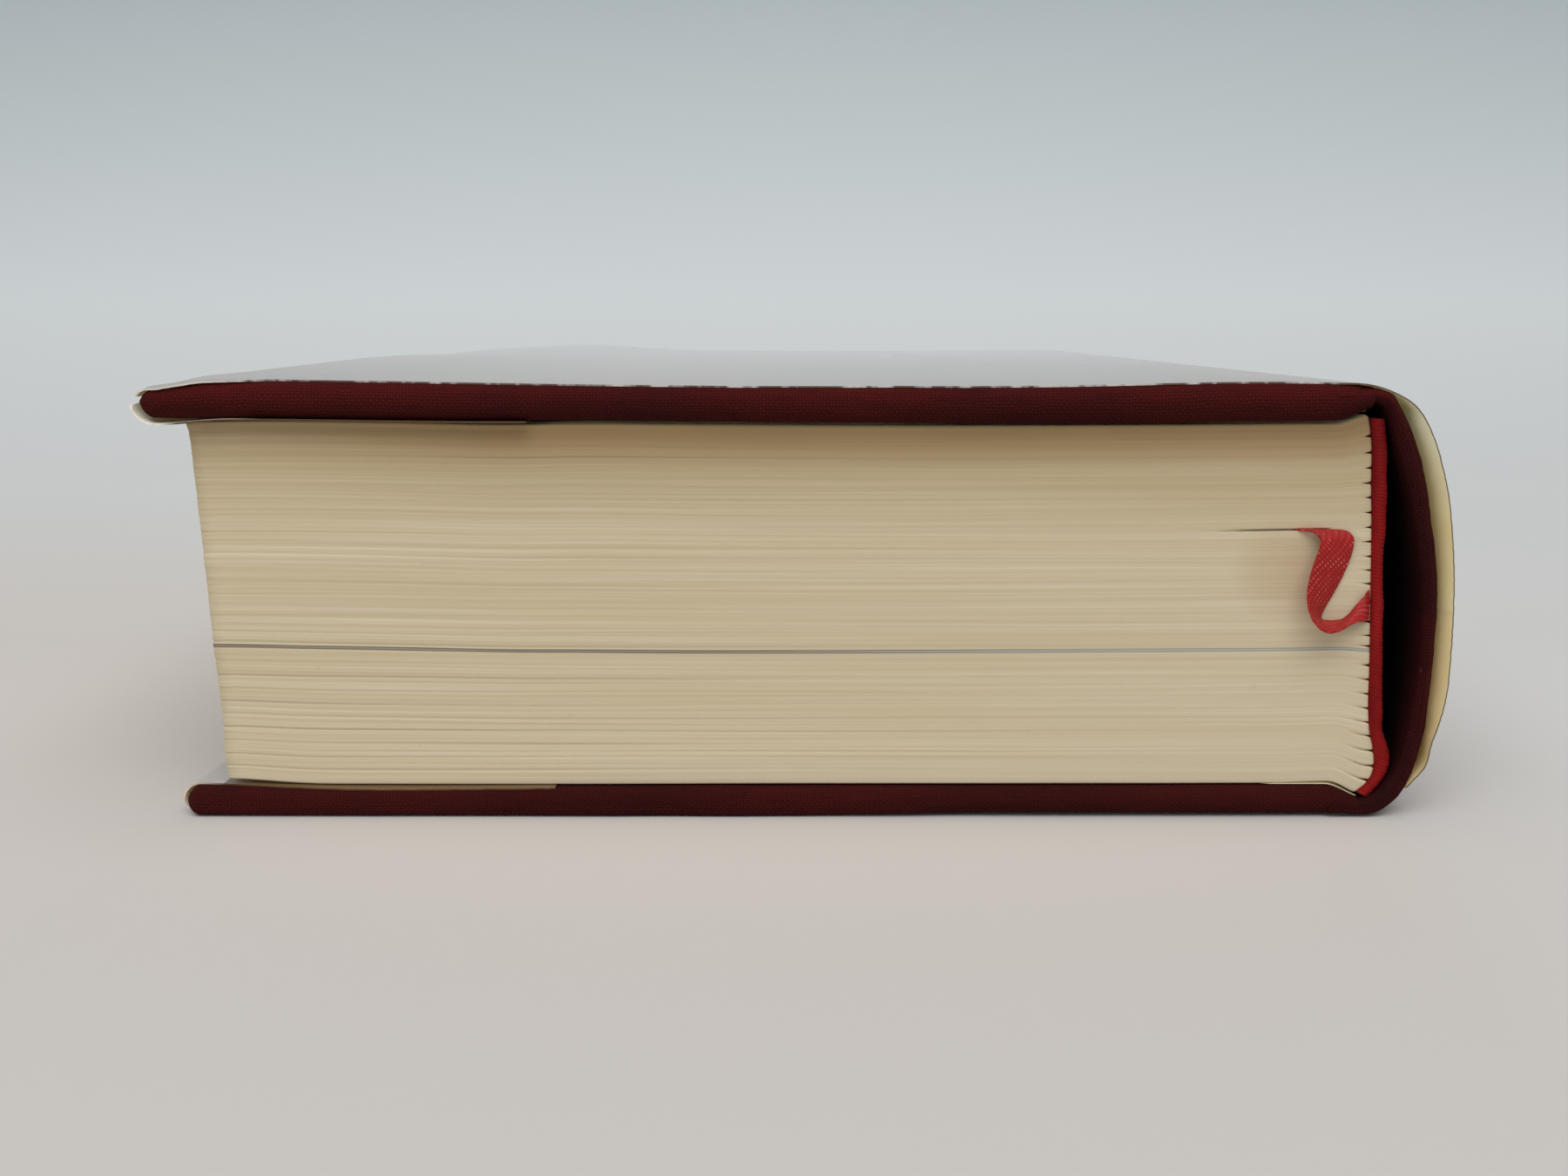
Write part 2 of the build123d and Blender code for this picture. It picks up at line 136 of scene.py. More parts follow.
class Build:
    """Collects vertices and faces of one piece, with a material and a UV for every corner."""

    def __init__(self):
        self.v, self.f, self.m, self.uv, self.n = [], [], [], [], 0
        self.extra = []

    def add(self, points):
        points = np.asarray(points, float).reshape(-1, 3)
        first = self.n
        self.v.append(points)
        self.n += len(points)
        return first

    def quads(self, ids, uv, mat=0, flip=False):
        """Faces of a grid of vertex numbers; uv is a grid of the same shape."""
        a, b = ids[:-1, :-1], ids[1:, :-1]
        c, d = ids[1:, 1:], ids[:-1, 1:]
        ua, ub, uc, ud = uv[:-1, :-1], uv[1:, :-1], uv[1:, 1:], uv[:-1, 1:]
        order = ([a, d, c, b], [ua, ud, uc, ub]) if flip else ([a, b, c, d], [ua, ub, uc, ud])
        f = np.stack([o.reshape(-1) for o in order[0]], axis=1)
        u = np.stack([o.reshape(-1, 2) for o in order[1]], axis=1)
        self.f.append(f)
        self.uv.append(u)
        self.m.append(np.full(len(f), mat))

    def fan(self, part, flip, mat=0):
        """Closes a half-round outline, given from one corner to the other, with strips and one last triangle."""
        part = [int(p) for p in part]
        i, j = 0, len(part) - 1
        while j - i >= 2:
            face = [part[i], part[i + 1], part[j - 1], part[j]] if j - i >= 3 else [part[i], part[i + 1], part[j]]
            if flip:
                face = face[::-1]
            self.extra.append((face, mat))
            i, j = i + 1, j - 1

    def object(self, name, mats, sharp=40, smooth_all=True):
        v = np.concatenate(self.v) * MM
        f = np.concatenate(self.f).tolist()
        for face, mat in self.extra:
            f.append(face)
            self.m.append(np.array([mat]))
            self.uv.append(np.array([[[v[i][1] * 10, v[i][2] * 10] for i in face]]).reshape(1, -1))
        self.uv = [u.reshape(-1) for u in self.uv]
        me = bpy.data.meshes.new(name)
        me.from_pydata(v.tolist(), [], f)
        for m in mats:
            me.materials.append(m)
        me.polygons.foreach_set("material_index", np.concatenate(self.m).astype(np.int32))
        layer = me.uv_layers.new(name="UVMap")
        layer.data.foreach_set(
            "uv", np.concatenate(self.uv).reshape(-1).astype(np.float32)
        )
        me.update()
        me.validate()
        if smooth_all:
            me.polygons.foreach_set("use_smooth", np.ones(len(me.polygons), bool))
            me.set_sharp_from_angle(angle=math.radians(sharp))
        o = bpy.data.objects.new(name, me)
        scene.collection.objects.link(o)
        return o


def grid_uv(u, v):
    return np.stack(np.meshgrid(u, v, indexing="ij"), axis=-1)


def sheet(name, P, thick, mats, u, v, sharp=40, split=None):
    """A sheet of paper or cloth: outer face P (a grid of points), an inner face `thick` behind it, and its cut edges.
    mats are the materials of the outer face, the inner face and the edges; split is a range of rows whose outer face has the fourth."""
    P = np.asarray(P, float)
    ni, nj = P.shape[:2]
    du = np.gradient(P, axis=0)
    dv = np.gradient(P, axis=1)
    n = np.cross(du, dv)
    n /= np.maximum(np.linalg.norm(n, axis=2, keepdims=True), 1e-9)
    Q = P - n * np.asarray(thick)[..., None] if np.ndim(thick) else P - n * thick
    b = Build()
    a0 = b.add(P)
    b0 = b.add(Q)
    ids = np.arange(ni * nj).reshape(ni, nj)
    uv = grid_uv(u, v) if np.ndim(u) == 1 else np.stack([u, v], axis=-1)
    if split:
        lo, hi = split
        for first, last, mat in ((0, lo, 0), (lo, hi, 3), (hi, ni - 1, 0)):
            if last > first:
                b.quads(ids[first : last + 1] + a0, uv[first : last + 1], mat)
    else:
        b.quads(ids + a0, uv, 0)
    b.quads(ids + b0, uv, 1, flip=True)
    for line, flip in (
        (ids[0, :], True),
        (ids[-1, :], False),
        (ids[:, 0], False),
        (ids[:, -1], True),
    ):
        rim = np.stack([line + a0, line + b0], axis=0)
        ruv = uv.reshape(-1, 2)[line]
        b.quads(rim, np.stack([ruv, ruv + 0.002], axis=0), 2, flip=not flip)
    return b.object(name, mats, sharp)


# ------------------------------------------------------------------ materials
def rgb(r, g, b):
    """Linear colour from a display colour of 0 to 255."""
    c = [x / 255 for x in (r, g, b)]
    return tuple(x / 12.92 if x <= 0.04045 else ((x + 0.055) / 1.055) ** 2.4 for x in c) + (1.0,)


class Nodes:
    def __init__(self, name):
        self.mat = bpy.data.materials.new(name)
        self.mat.use_nodes = True
        self.t = self.mat.node_tree
        self.bsdf = next(n for n in self.t.nodes if n.type == "BSDF_PRINCIPLED")

    def new(self, kind, **settings):
        n = self.t.nodes.new(kind)
        for k, x in settings.items():
            setattr(n, k, x)
        return n

    def put(self, socket, value):
        if isinstance(value, bpy.types.NodeSocket):
            self.t.links.new(value, socket)
        elif value is not None:
            socket.default_value = value

    def uv(self, scale=(1, 1, 1), turn=0.0):
        c = self.new("ShaderNodeUVMap", uv_map="UVMap")
        m = self.new("ShaderNodeMapping")
        m.inputs["Scale"].default_value = scale
        m.inputs["Rotation"].default_value = (0, 0, turn)
        self.t.links.new(c.outputs[0], m.inputs[0])
        return m.outputs[0]

    def place(self, scale=(1, 1, 1), turn=(0, 0, 0)):
        c = self.new("ShaderNodeTexCoord")
        m = self.new("ShaderNodeMapping")
        m.inputs["Scale"].default_value = scale
        m.inputs["Rotation"].default_value = turn
        self.t.links.new(c.outputs["Object"], m.inputs[0])
        return m.outputs[0]

    def noise(self, vector, scale=1.0, detail=2.0, rough=0.5, distortion=0.0):
        n = self.new("ShaderNodeTexNoise")
        self.put(n.inputs["Vector"], vector)
        n.inputs["Scale"].default_value = scale
        n.inputs["Detail"].default_value = detail
        n.inputs["Roughness"].default_value = rough
        n.inputs["Distortion"].default_value = distortion
        return n.outputs[0]

    def math(self, op, a, b=None, c=None, clamp=False):
        n = self.new("ShaderNodeMath", operation=op, use_clamp=clamp)
        self.put(n.inputs[0], a)
        if b is not None:
            self.put(n.inputs[1], b)
        if c is not None:
            self.put(n.inputs[2], c)
        return n.outputs[0]

    def ramp(self, value, *stops):
        n = self.new("ShaderNodeValToRGB")
        r = n.color_ramp
        while len(r.elements) < len(stops):
            r.elements.new(0.5)
        for e, (pos, col) in zip(r.elements, stops):
            e.position = pos
            e.color = col if isinstance(col, tuple) else (col, col, col, 1)
        self.put(n.inputs[0], value)
        return n.outputs[0]

    def remap(self, value, a, b, c=0.0, d=1.0):
        n = self.new("ShaderNodeMapRange", clamp=True)
        self.put(n.inputs["Value"], value)
        n.inputs["From Min"].default_value = a
        n.inputs["From Max"].default_value = b
        n.inputs["To Min"].default_value = c
        n.inputs["To Max"].default_value = d
        return n.outputs[0]

    def mix(self, factor, a, b, kind="MIX"):
        n = self.new("ShaderNodeMix", data_type="RGBA", blend_type=kind)
        self.put(n.inputs[0], factor)
        self.put(n.inputs[6], a)
        self.put(n.inputs[7], b)
        return n.outputs[2]

    def split(self, vector):
        n = self.new("ShaderNodeSeparateXYZ")
        self.put(n.inputs[0], vector)
        return n.outputs

    def bump(self, height, strength, distance):
        n = self.new("ShaderNodeBump")
        self.put(n.inputs["Height"], height)
        n.inputs["Strength"].default_value = strength
        n.inputs["Distance"].default_value = distance
        self.put(self.bsdf.inputs["Normal"], n.outputs[0])

    def finish(self, colour, roughness, specular=0.3, gain=None, **more):
        if gain:
            colour = self.mix(1.0, colour, (gain, gain, gain, 1.0), "MULTIPLY")
        self.put(self.bsdf.inputs["Base Color"], colour)
        self.put(self.bsdf.inputs["Roughness"], roughness)
        self.bsdf.inputs["Specular IOR Level"].default_value = specular
        for k, x in more.items():
            self.bsdf.inputs[k.replace("_", " ")].default_value = x
        return self.mat


def page_edge_material():
    """Cut edges of yellowed leaves: U runs along the leaves, V from the last leaf (0) to the first (1)."""
    m = Nodes("page_edges")
    uv = m.uv()
    x, v, _ = m.split(uv)
    leaf = m.noise(m.uv((2.2, 380.0, 1)), 1.0, 2.0, 0.6)
    gather = m.noise(m.uv((1.3, 75.0, 1)), 1.0, 3.0, 0.55)
    broad = m.noise(m.uv((2.6, 7.0, 1)), 1.0, 3.0, 0.5)
    c = m.mix(m.remap(gather, 0.3, 0.7), rgb(212, 196, 164), rgb(226, 214, 186))
    c = m.mix(m.math("MULTIPLY", m.remap(leaf, 0.36, 0.6, 0.34, 0.0), m.remap(x, -0.1, 0.25, 1.0, 0.55)), c, rgb(190, 170, 132))
    c = m.mix(m.remap(broad, 0.4, 0.68, 0.0, 0.4), c, rgb(206, 188, 150))
    # painted shadow of the front board, with some age toning: the leaves under it are darker and browner, less so
    # towards the fore-edge
    board_shadow_and_toning = m.ramp(v, (0.70, (1.0, 1.0, 1.0, 1)), (0.87, (0.81, 0.77, 0.70, 1)), (0.95, (0.57, 0.47, 0.36, 1)), (0.98, (0.55, 0.445, 0.325, 1)), (1.0, (0.72, 0.60, 0.44, 1)))
    c = m.mix(m.remap(x, -0.18, -0.34, 1.0, 0.72), c, m.mix(1.0, c, board_shadow_and_toning, "MULTIPLY"))
    # the lowest leaves are a little paler
    c = m.mix(m.remap(v, 0.30, 0.0, 0.0, 0.35), c, rgb(230, 217, 190))
    # a gathering of coated plates: two grey lines with a pale one between
    d = m.math("ABSOLUTE", m.math("SUBTRACT", v, 0.3865))
    plate = m.remap(d, 0.0046, 0.0058, 1.0, 0.0)
    right = m.remap(x, -0.05, 0.2)
    grain = m.remap(m.noise(m.uv((14.0, 900.0, 1)), 1.0, 2.0), 0.35, 0.6)
    grey = m.mix(right, m.mix(grain, rgb(118, 108, 94), rgb(150, 140, 124)), m.mix(grain, rgb(150, 150, 142), rgb(178, 176, 164)))
    pale = m.math("MULTIPLY", m.remap(d, 0.0006, 0.0018, 1.0, 0.0), m.remap(right, 0.1, 0.8, 0.35, 1.0))
    grey = m.mix(pale, grey, rgb(200, 194, 176))
    c = m.mix(plate, c, grey)
    # painted soft shadow and painted red reflected light of the marker, with a little dye stain, on the leaves beside
    # it
    off = m.math("POWER", m.math("DIVIDE", m.math("SUBTRACT", x, 0.290), 0.034), 2.0)
    off = m.math("ADD", off, m.math("POWER", m.math("DIVIDE", m.math("SUBTRACT", v, 0.61), 0.15), 2.0))
    c = m.mix(m.remap(off, 0.0, 1.0, 0.30, 0.0), c, rgb(186, 142, 104))
    # foxing and small stains
    spot = m.noise(m.uv((60.0, 22.0, 1)), 1.0, 4.0, 0.6)
    c = m.mix(m.remap(spot, 0.70, 0.82, 0.0, 0.35), c, rgb(150, 122, 84))
    m.bump(leaf, 0.2, 0.00005)
    return m.finish(c, 0.9, 0.12, gain=0.845)


def paper_material(name, light, dark, rough=0.85, spec=0.15, fox=0.25, thin=0.0, past_joint=None, torn=None):
    """Uncoated endpaper or the bare side of jacket paper, with fibres, soft clouds of age and a few fox marks.
    thin lets light through and brings the painted light and shade of the jacket's inside; past_joint is a colour for
    the part beyond the joint, torn one for the fore-edge fold."""
    m = Nodes(name)
    p = m.place((1, 1, 1))
    cloud = m.noise(p, 28.0, 4.0, 0.6)
    fibre = m.noise(p, 900.0, 3.0, 0.65)
    c = m.mix(m.remap(cloud, 0.35, 0.68), dark, light)
    c = m.mix(m.remap(fibre, 0.4, 0.7, 0.0, 0.22), c, dark)
    fleck = m.noise(p, 160.0, 3.0, 0.6)
    c = m.mix(m.remap(fleck, 0.72, 0.80, 0.0, fox), c, rgb(150, 112, 70))
    if past_joint:
        x, _, _ = m.split(p)
        c = m.mix(m.remap(x, 0.064, 0.070), c, past_joint)
        _, _, z = m.split(p)
        # the fore-edge fold is pale where it is torn, partly a painted highlight on its torn edges
        c = m.mix(m.math("MULTIPLY", m.remap(x, -0.0725, -0.0745), m.remap(z, 0.02, 0.04)), c, torn)
        c = m.mix(m.math("MULTIPLY", m.remap(x, -0.0700, -0.0735), m.remap(z, 0.02, 0.01)), c, rgb(214, 188, 168))
        # the head edge of the front panel is greyer, with pale flecks in places that are partly rubbed paper and partly
        # painted highlights
        chip = m.remap(m.noise(m.place((1, 0.2, 0.2)), 420.0, 2.0, 0.6), 0.46, 0.62)
        panel = m.math("MULTIPLY", m.remap(x, 0.066, 0.060), m.remap(z, 0.0500, 0.0505))
        c = m.mix(panel, c, m.mix(chip, rgb(104, 82, 74), rgb(206, 198, 192)))
        c = m.mix(m.math("MULTIPLY", m.remap(x, -0.0655, -0.0690), m.remap(z, 0.0490, 0.0500)), c, rgb(214, 204, 190))
    if thin:
        # painted light and shade on the inside of the jacket: paler near the fore-edge fold to offset its shade; along
        # the spine darker towards the foot and much paler at the top, painted light where light would show through;
        # dark brown painted shade along the head of the flaps
        x, y, z = m.split(p)
        c = m.mix(m.remap(x, -0.064, -0.068), c, rgb(242, 234, 220))
        spine = m.remap(x, 0.064, 0.068)
        c = m.mix(m.math("MULTIPLY", spine, m.remap(z, 0.026, 0.006, 0.0, 0.45)), c, rgb(196, 166, 112))
        c = m.mix(m.math("MULTIPLY", spine, m.remap(z, 0.036, 0.047, 0.0, 0.8)), c, rgb(255, 244, 216))
        c = m.mix(m.math("MULTIPLY", m.remap(x, -0.0665, -0.0630), m.math("MULTIPLY", m.remap(x, 0.0, -0.02), m.remap(y, -0.1045, -0.1070))), c, rgb(92, 66, 44))
    m.bump(fibre, 0.12, 0.00005)
    m.finish(c, rough, spec)
    if thin:
        m.bsdf.inputs["Subsurface Weight"].default_value = thin
        m.bsdf.inputs["Subsurface Radius"].default_value = (1.0, 0.85, 0.6)
        m.bsdf.inputs["Subsurface Scale"].default_value = 0.0006
    return m.mat


def jacket_material(name, light, dark, soil, head_shade_and_reflection=None):
    """Glossy outside of the jacket: plain paper under a clear film, with faint clouds, rubbed streaks and a few specks.
    head_shade_and_reflection, if given, makes the flaps greyer and their head brown: painted shade and a painted
    reflection of the cream leaves."""
    m = Nodes(name)
    p = m.uv((1, 1, 1))
    cloud = m.noise(p, 1.3, 3.0, 0.5)
    c = m.mix(m.remap(cloud, 0.35, 0.7), dark, light)
    rub = m.noise(m.uv((2.4, 0.7, 1), 0.35), 1.0, 3.0, 0.5)
    c = m.mix(m.remap(rub, 0.5, 0.85, 0.0, 0.3), c, soil)
    # paler towards the tail
    _, v, _ = m.split(p)
    c = m.mix(m.remap(v, -1.0, 0.9, 0.0, 0.8), c, rgb(226, 225, 224))
    # painted shade: the flaps are greyer, and their head, which shows in the dark wedge under the leaves, is brown with
    # painted shadow and a painted reflection of the leaves
    if head_shade_and_reflection:
        c = m.mix(0.35, c, rgb(150, 136, 132))
        c = m.mix(m.remap(v, -0.99, -1.05), c, m.mix(m.remap(cloud, 0.35, 0.7), rgb(104, 82, 58), head_shade_and_reflection))
    speck = m.noise(p, 40.0, 1.0, 0.5)
    c = m.mix(m.remap(speck, 0.83, 0.86, 0.0, 0.5), c, rgb(100, 92, 90))
    rough = m.remap(cloud, 0.3, 0.7, 0.26, 0.34)
    m.bump(m.noise(p, 2.5, 1.0, 0.3), 0.02, 0.0004)
    m.finish(c, rough, 0.5)
    m.bsdf.inputs["Subsurface Weight"].default_value = 0.35
    m.bsdf.inputs["Subsurface Radius"].default_value = (1.0, 0.85, 0.6)
    m.bsdf.inputs["Subsurface Scale"].default_value = 0.0006
    return m.mat


def cloth_material(name="book_cloth", hollow=False):
    """Dark maroon book cloth: a plain weave, rubbed paler on the high threads.
    hollow is for the spine, whose inside goes nearly black away from the head and tail: painted shade deep in the
    hollow back."""
    m = Nodes(name)
    uv = m.uv((285.0, 285.0, 1))
    bend = m.noise(m.uv((46, 46, 1)), 1.0, 3.0, 0.6)
    x, y, _ = m.split(uv)
    x = m.math("ADD", x, m.math("MULTIPLY", bend, 2.0))
    y = m.math("ADD", y, m.math("MULTIPLY", bend, 1.7))
    sx = m.math("SINE", m.math("MULTIPLY", x, math.pi))
    sy = m.math("SINE", m.math("MULTIPLY", y, math.pi))
    warp = m.math("ABSOLUTE", sx)
    weft = m.math("ABSOLUTE", sy)
    cross = m.math("MULTIPLY", sx, sy)
    over = m.math("GREATER_THAN", cross, 0.0)
    height = m.math(
        "ADD",
        m.math("MULTIPLY", m.math("MULTIPLY", warp, over), 0.6),
        m.math("MULTIPLY", m.math("MULTIPLY", weft, m.math("SUBTRACT", 1.0, over)), 0.8),
    )
    slub = m.noise(m.uv((18, 160, 1)), 1.0, 3.0, 0.6)
    height = m.math("MULTIPLY", height, m.remap(slub, 0.25, 0.75, 0.45, 1.15))
    tone = m.noise(m.uv((4, 4, 1)), 1.0, 3.0)
    c = m.mix(m.remap(tone, 0.3, 0.7), rgb(64, 14, 14), rgb(80, 19, 18))
    c = m.mix(m.remap(height, 0.05, 0.55, 0.85, 0.0), c, rgb(22, 3, 4))
    fleck = m.noise(m.uv((260, 260, 1)), 1.0, 2.0)
    c = m.mix(m.remap(fleck, 0.76, 0.82, 0.0, 0.35), c, rgb(160, 100, 88))
    if hollow:
        # painted shade deep inside the spine, away from the head and tail
        _, py, _ = m.split(m.place((1, 1, 1)))
        deep = m.remap(m.math("ABSOLUTE", py), 0.1084, 0.1030)
        c = m.mix(m.remap(deep, 0.0, 1.0, 0.35, 0.94), c, rgb(8, 3, 3))
    # painted light: paler and redder where it turns over the upper edge of the front cover, which faces the light from
    # above
    _, _, pz = m.split(m.place((1, 1, 1)))
    c = m.mix(m.remap(pz, 0.0492, 0.0510), c, m.mix(1.0, c, (1.45, 1.15, 1.1, 1.0), "MULTIPLY"))
    m.bump(height, 0.7, 0.00018)
    return m.finish(c, 0.85, 0.10, gain=0.84)


def band_material():
    """Red woven head band."""
    m = Nodes("band_cloth")
    uv = m.uv((240.0, 240.0, 1))
    x, y, _ = m.split(uv)
    x = m.math("ADD", x, m.math("MULTIPLY", m.noise(m.uv((40, 40, 1)), 1.0, 2.0), 1.6))
    rib = m.math("ABSOLUTE", m.math("SINE", m.math("MULTIPLY", x, math.pi)))
    tone = m.noise(m.uv((14, 26, 1)), 1.0, 3.0, 0.6)
    c = m.mix(m.remap(tone, 0.3, 0.72), rgb(122, 16, 18), rgb(168, 30, 30))
    c = m.mix(m.remap(rib, 0.0, 0.55, 0.6, 0.0), c, rgb(76, 8, 10))
    # painted shade: the top end of the band is darker, in the shadow under the cloth
    along, _, _ = m.split(m.uv((1, 1, 1)))
    c = m.mix(m.remap(along, 0.0, 0.16, 0.42, 0.0), c, rgb(84, 10, 11))
    m.bump(m.math("ADD", rib, m.noise(m.uv((400, 400, 1)), 1.0, 2.0)), 0.35, 0.00008)
    return m.finish(c, 0.75, 0.1, gain=0.76)


def ribbon_material():
    """Red ribbon with a diagonal weave and pale flecks where threads catch the light."""
    m = Nodes("ribbon_cloth")
    uv = m.uv((250.0, 250.0, 1), 0.62)
    x, y, _ = m.split(uv)
    a = m.math("SINE", m.math("MULTIPLY", x, math.pi))
    b = m.math("SINE", m.math("MULTIPLY", y, math.pi * 0.55))
    w = m.math("MULTIPLY", m.math("ABSOLUTE", a), m.math("ABSOLUTE", b))
    tone = m.noise(m.uv((30, 30, 1)), 1.0, 3.0)
    c = m.mix(m.remap(tone, 0.3, 0.7), rgb(176, 26, 26), rgb(196, 44, 38))
    c = m.mix(m.remap(w, 0.0, 0.45, 0.62, 0.0), c, rgb(126, 12, 16))
    c = m.mix(m.math("MULTIPLY", m.remap(w, 0.7, 0.92, 0.0, 0.75), m.remap(m.noise(m.uv((70, 70, 1)), 1.0, 2.0), 0.45, 0.62)), c, rgb(240, 128, 116))
    m.bump(w, 0.5, 0.00012)
    return m.finish(c, 0.55, 0.3, gain=0.81)


def card_material(name, light, dark):
    """Grey binder's board or lining: pressed fibres."""
    m = Nodes(name)
    p = m.place((1, 1, 1))
    fibre = m.noise(m.place((1, 3, 4)), 320.0, 4.0, 0.7)
    c = m.mix(m.remap(fibre, 0.35, 0.65), dark, light)
    m.bump(fibre, 0.3, 0.0002)
    return m.finish(c, 0.92, 0.1)


PAGES = page_edge_material()
ENDPAPER = paper_material("endpaper", rgb(226, 214, 184), rgb(205, 188, 150))
JACKET_IN = paper_material("jacket_inside", rgb(244, 224, 180), rgb(232, 208, 160), 0.75, 0.2, 0.3, thin=0.6)
JACKET_OUT = jacket_material("jacket_outside", rgb(188, 183, 180), rgb(176, 170, 169), rgb(162, 155, 153))
# flaps, with painted shade and a painted reflection of the leaves at their head
JACKET_FLAP = jacket_material("jacket_flap", rgb(188, 183, 180), rgb(176, 170, 169), rgb(162, 155, 153), rgb(124, 99, 71))
# cut edges of the jacket: dark brown as painted shade, where they show in the dark gaps along the boards; greyer and
# paler beyond the joint
JACKET_EDGE = paper_material("jacket_edge", rgb(96, 70, 48), rgb(80, 58, 40), 0.8, 0.15, 0.3, past_joint=rgb(112, 100, 78), torn=rgb(232, 224, 208))
CLOTH = cloth_material()
CLOTH_HOLLOW = cloth_material("book_cloth_spine_inside", True)
BAND = band_material()
RIBBON = ribbon_material()
BOARD = card_material("binders_board", rgb(150, 138, 120), rgb(112, 102, 88))
LINING = card_material("spine_lining_paper", rgb(96, 74, 52), rgb(62, 46, 32))

# ------------------------------------------------------------------ measures
HEAD, TAIL = -109.0, 109.0  # ends of the boards
PAGE_HEAD, PAGE_TAIL = -107.0, 105.3
JACKET_HALF = 108.8

FRONT_IN, FRONT_OUT = 47.62, 51.8  # inner and outer face of the front cover
REAR_OUT = 0.2

# outline of the jacket round the spine, from the front cover to the middle and from the middle to the rear cover
JACKET_TOP = [
    (65.4, 51.96), (66.6, 51.76), (67.7, 51.45), (68.75, 51.04), (69.8, 50.54), (70.85, 49.9), (72.0, 48.8), (73.15, 47.0),
    (74.45, 44.0), (75.72, 39.7), (76.4, 35.9), (76.95, 31.8), (77.3, 27.6), (77.4, 25.0),
]
JACKET_LOW = [
    (77.4, 25.0), (77.45, 21.3), (77.4, 18.2), (77.28, 15.5), (77.0, 13.4), (76.55, 11.3), (75.95, 9.3), (75.76, 8.3), (75.64, 7.5),
    (75.46, 6.7), (75.12, 6.0), (74.7, 5.4), (74.12, 4.8), (73.6, 4.15), (73.15, 3.4), (72.1, 1.75), (70.9, 0.8), (69.6, 0.25), (67.8, 0.0),
]


def cover_warp(x, y):
    """How far the front board stands above its flat place: it dips in the middle of the head edge, and the fore-edge bows up."""
    x, y = np.broadcast_arrays(np.asarray(x, float), np.asarray(y, float))
    head = soft_table(
        [(-80, 0.16), (-64, 0.36), (-48, 0.16), (-32, -0.10), (-5, -0.38), (10, -0.38), (28, -0.33), (40, -0.12), (50, 0.12), (58, 0.16), (64, 0.06), (70, 0.0)],
        x,
    )
    fore = soft_table(
        [(-112, 0.0), (-84, 0.08), (-48, 0.45), (-14, 0.8), (15, 0.62), (39, 0.25), (75, 0.15), (110, 0.2)], y
    )
    rise = 1.05 * np.exp(-(((x + 52) / 17) ** 2)) * smooth(10, 105, y)
    return head * (1 - 0.7 * smooth(-109, 0, y)) + fore * smooth(-14, -77, x) ** 1.2 + rise


def front_inside(x):
    """Inner face of the front cover along the head, before its dip."""
    return FRONT_IN + soft_table([(-90, 0.0), (-40, 0.0), (-28, 0.16), (0, 0.16), (12, 0.1), (25, 0.0), (38, -0.16), (50, -0.28), (58, -0.24), (63, -0.05), (72, 0.0)], x)


def rear_inside(x):
    """Inner face of the rear cover, which lies lower towards the fore-edge."""
    return soft_table([(-90, 3.25), (-73, 3.25), (-65, 3.1), (-58, 3.02), (-45, 3.0), (-29, 3.16), (0, 3.32), (30, 3.41), (50, 3.49), (60, 3.55), (72, 3.55)], x)


def joint_slope(x, start):
    """How far the inner face of a cover falls away towards its joint."""
    return 1.7 * smooth(start, start + 5.0, x)


# ------------------------------------------------------------------ leaves
def first_leaf(x):
    """Top of the leaves along the head, under the flap and then under the board."""
    return soft_table([(-90, 47.4), (-71.8, 47.42), (-63, 47.5), (-47.7, 47.36), (-33, 47.12), (-27, 47.24), (-12, 47.16), (3.4, 47.07), (29, 47.08), (49, 47.18), (59, 47.28), (72, 47.33)], x)


def last_leaf(x):
    """Bottom of the leaves: on the board, then over the flap."""
    return soft_table([(-90, 3.36), (-59, 3.38), (-44, 3.38), (-29, 3.42), (0, 3.58), (30, 3.67), (51, 3.76), (59, 3.84), (63.2, 4.0), (66, 4.06), (72, 3.92)], x)


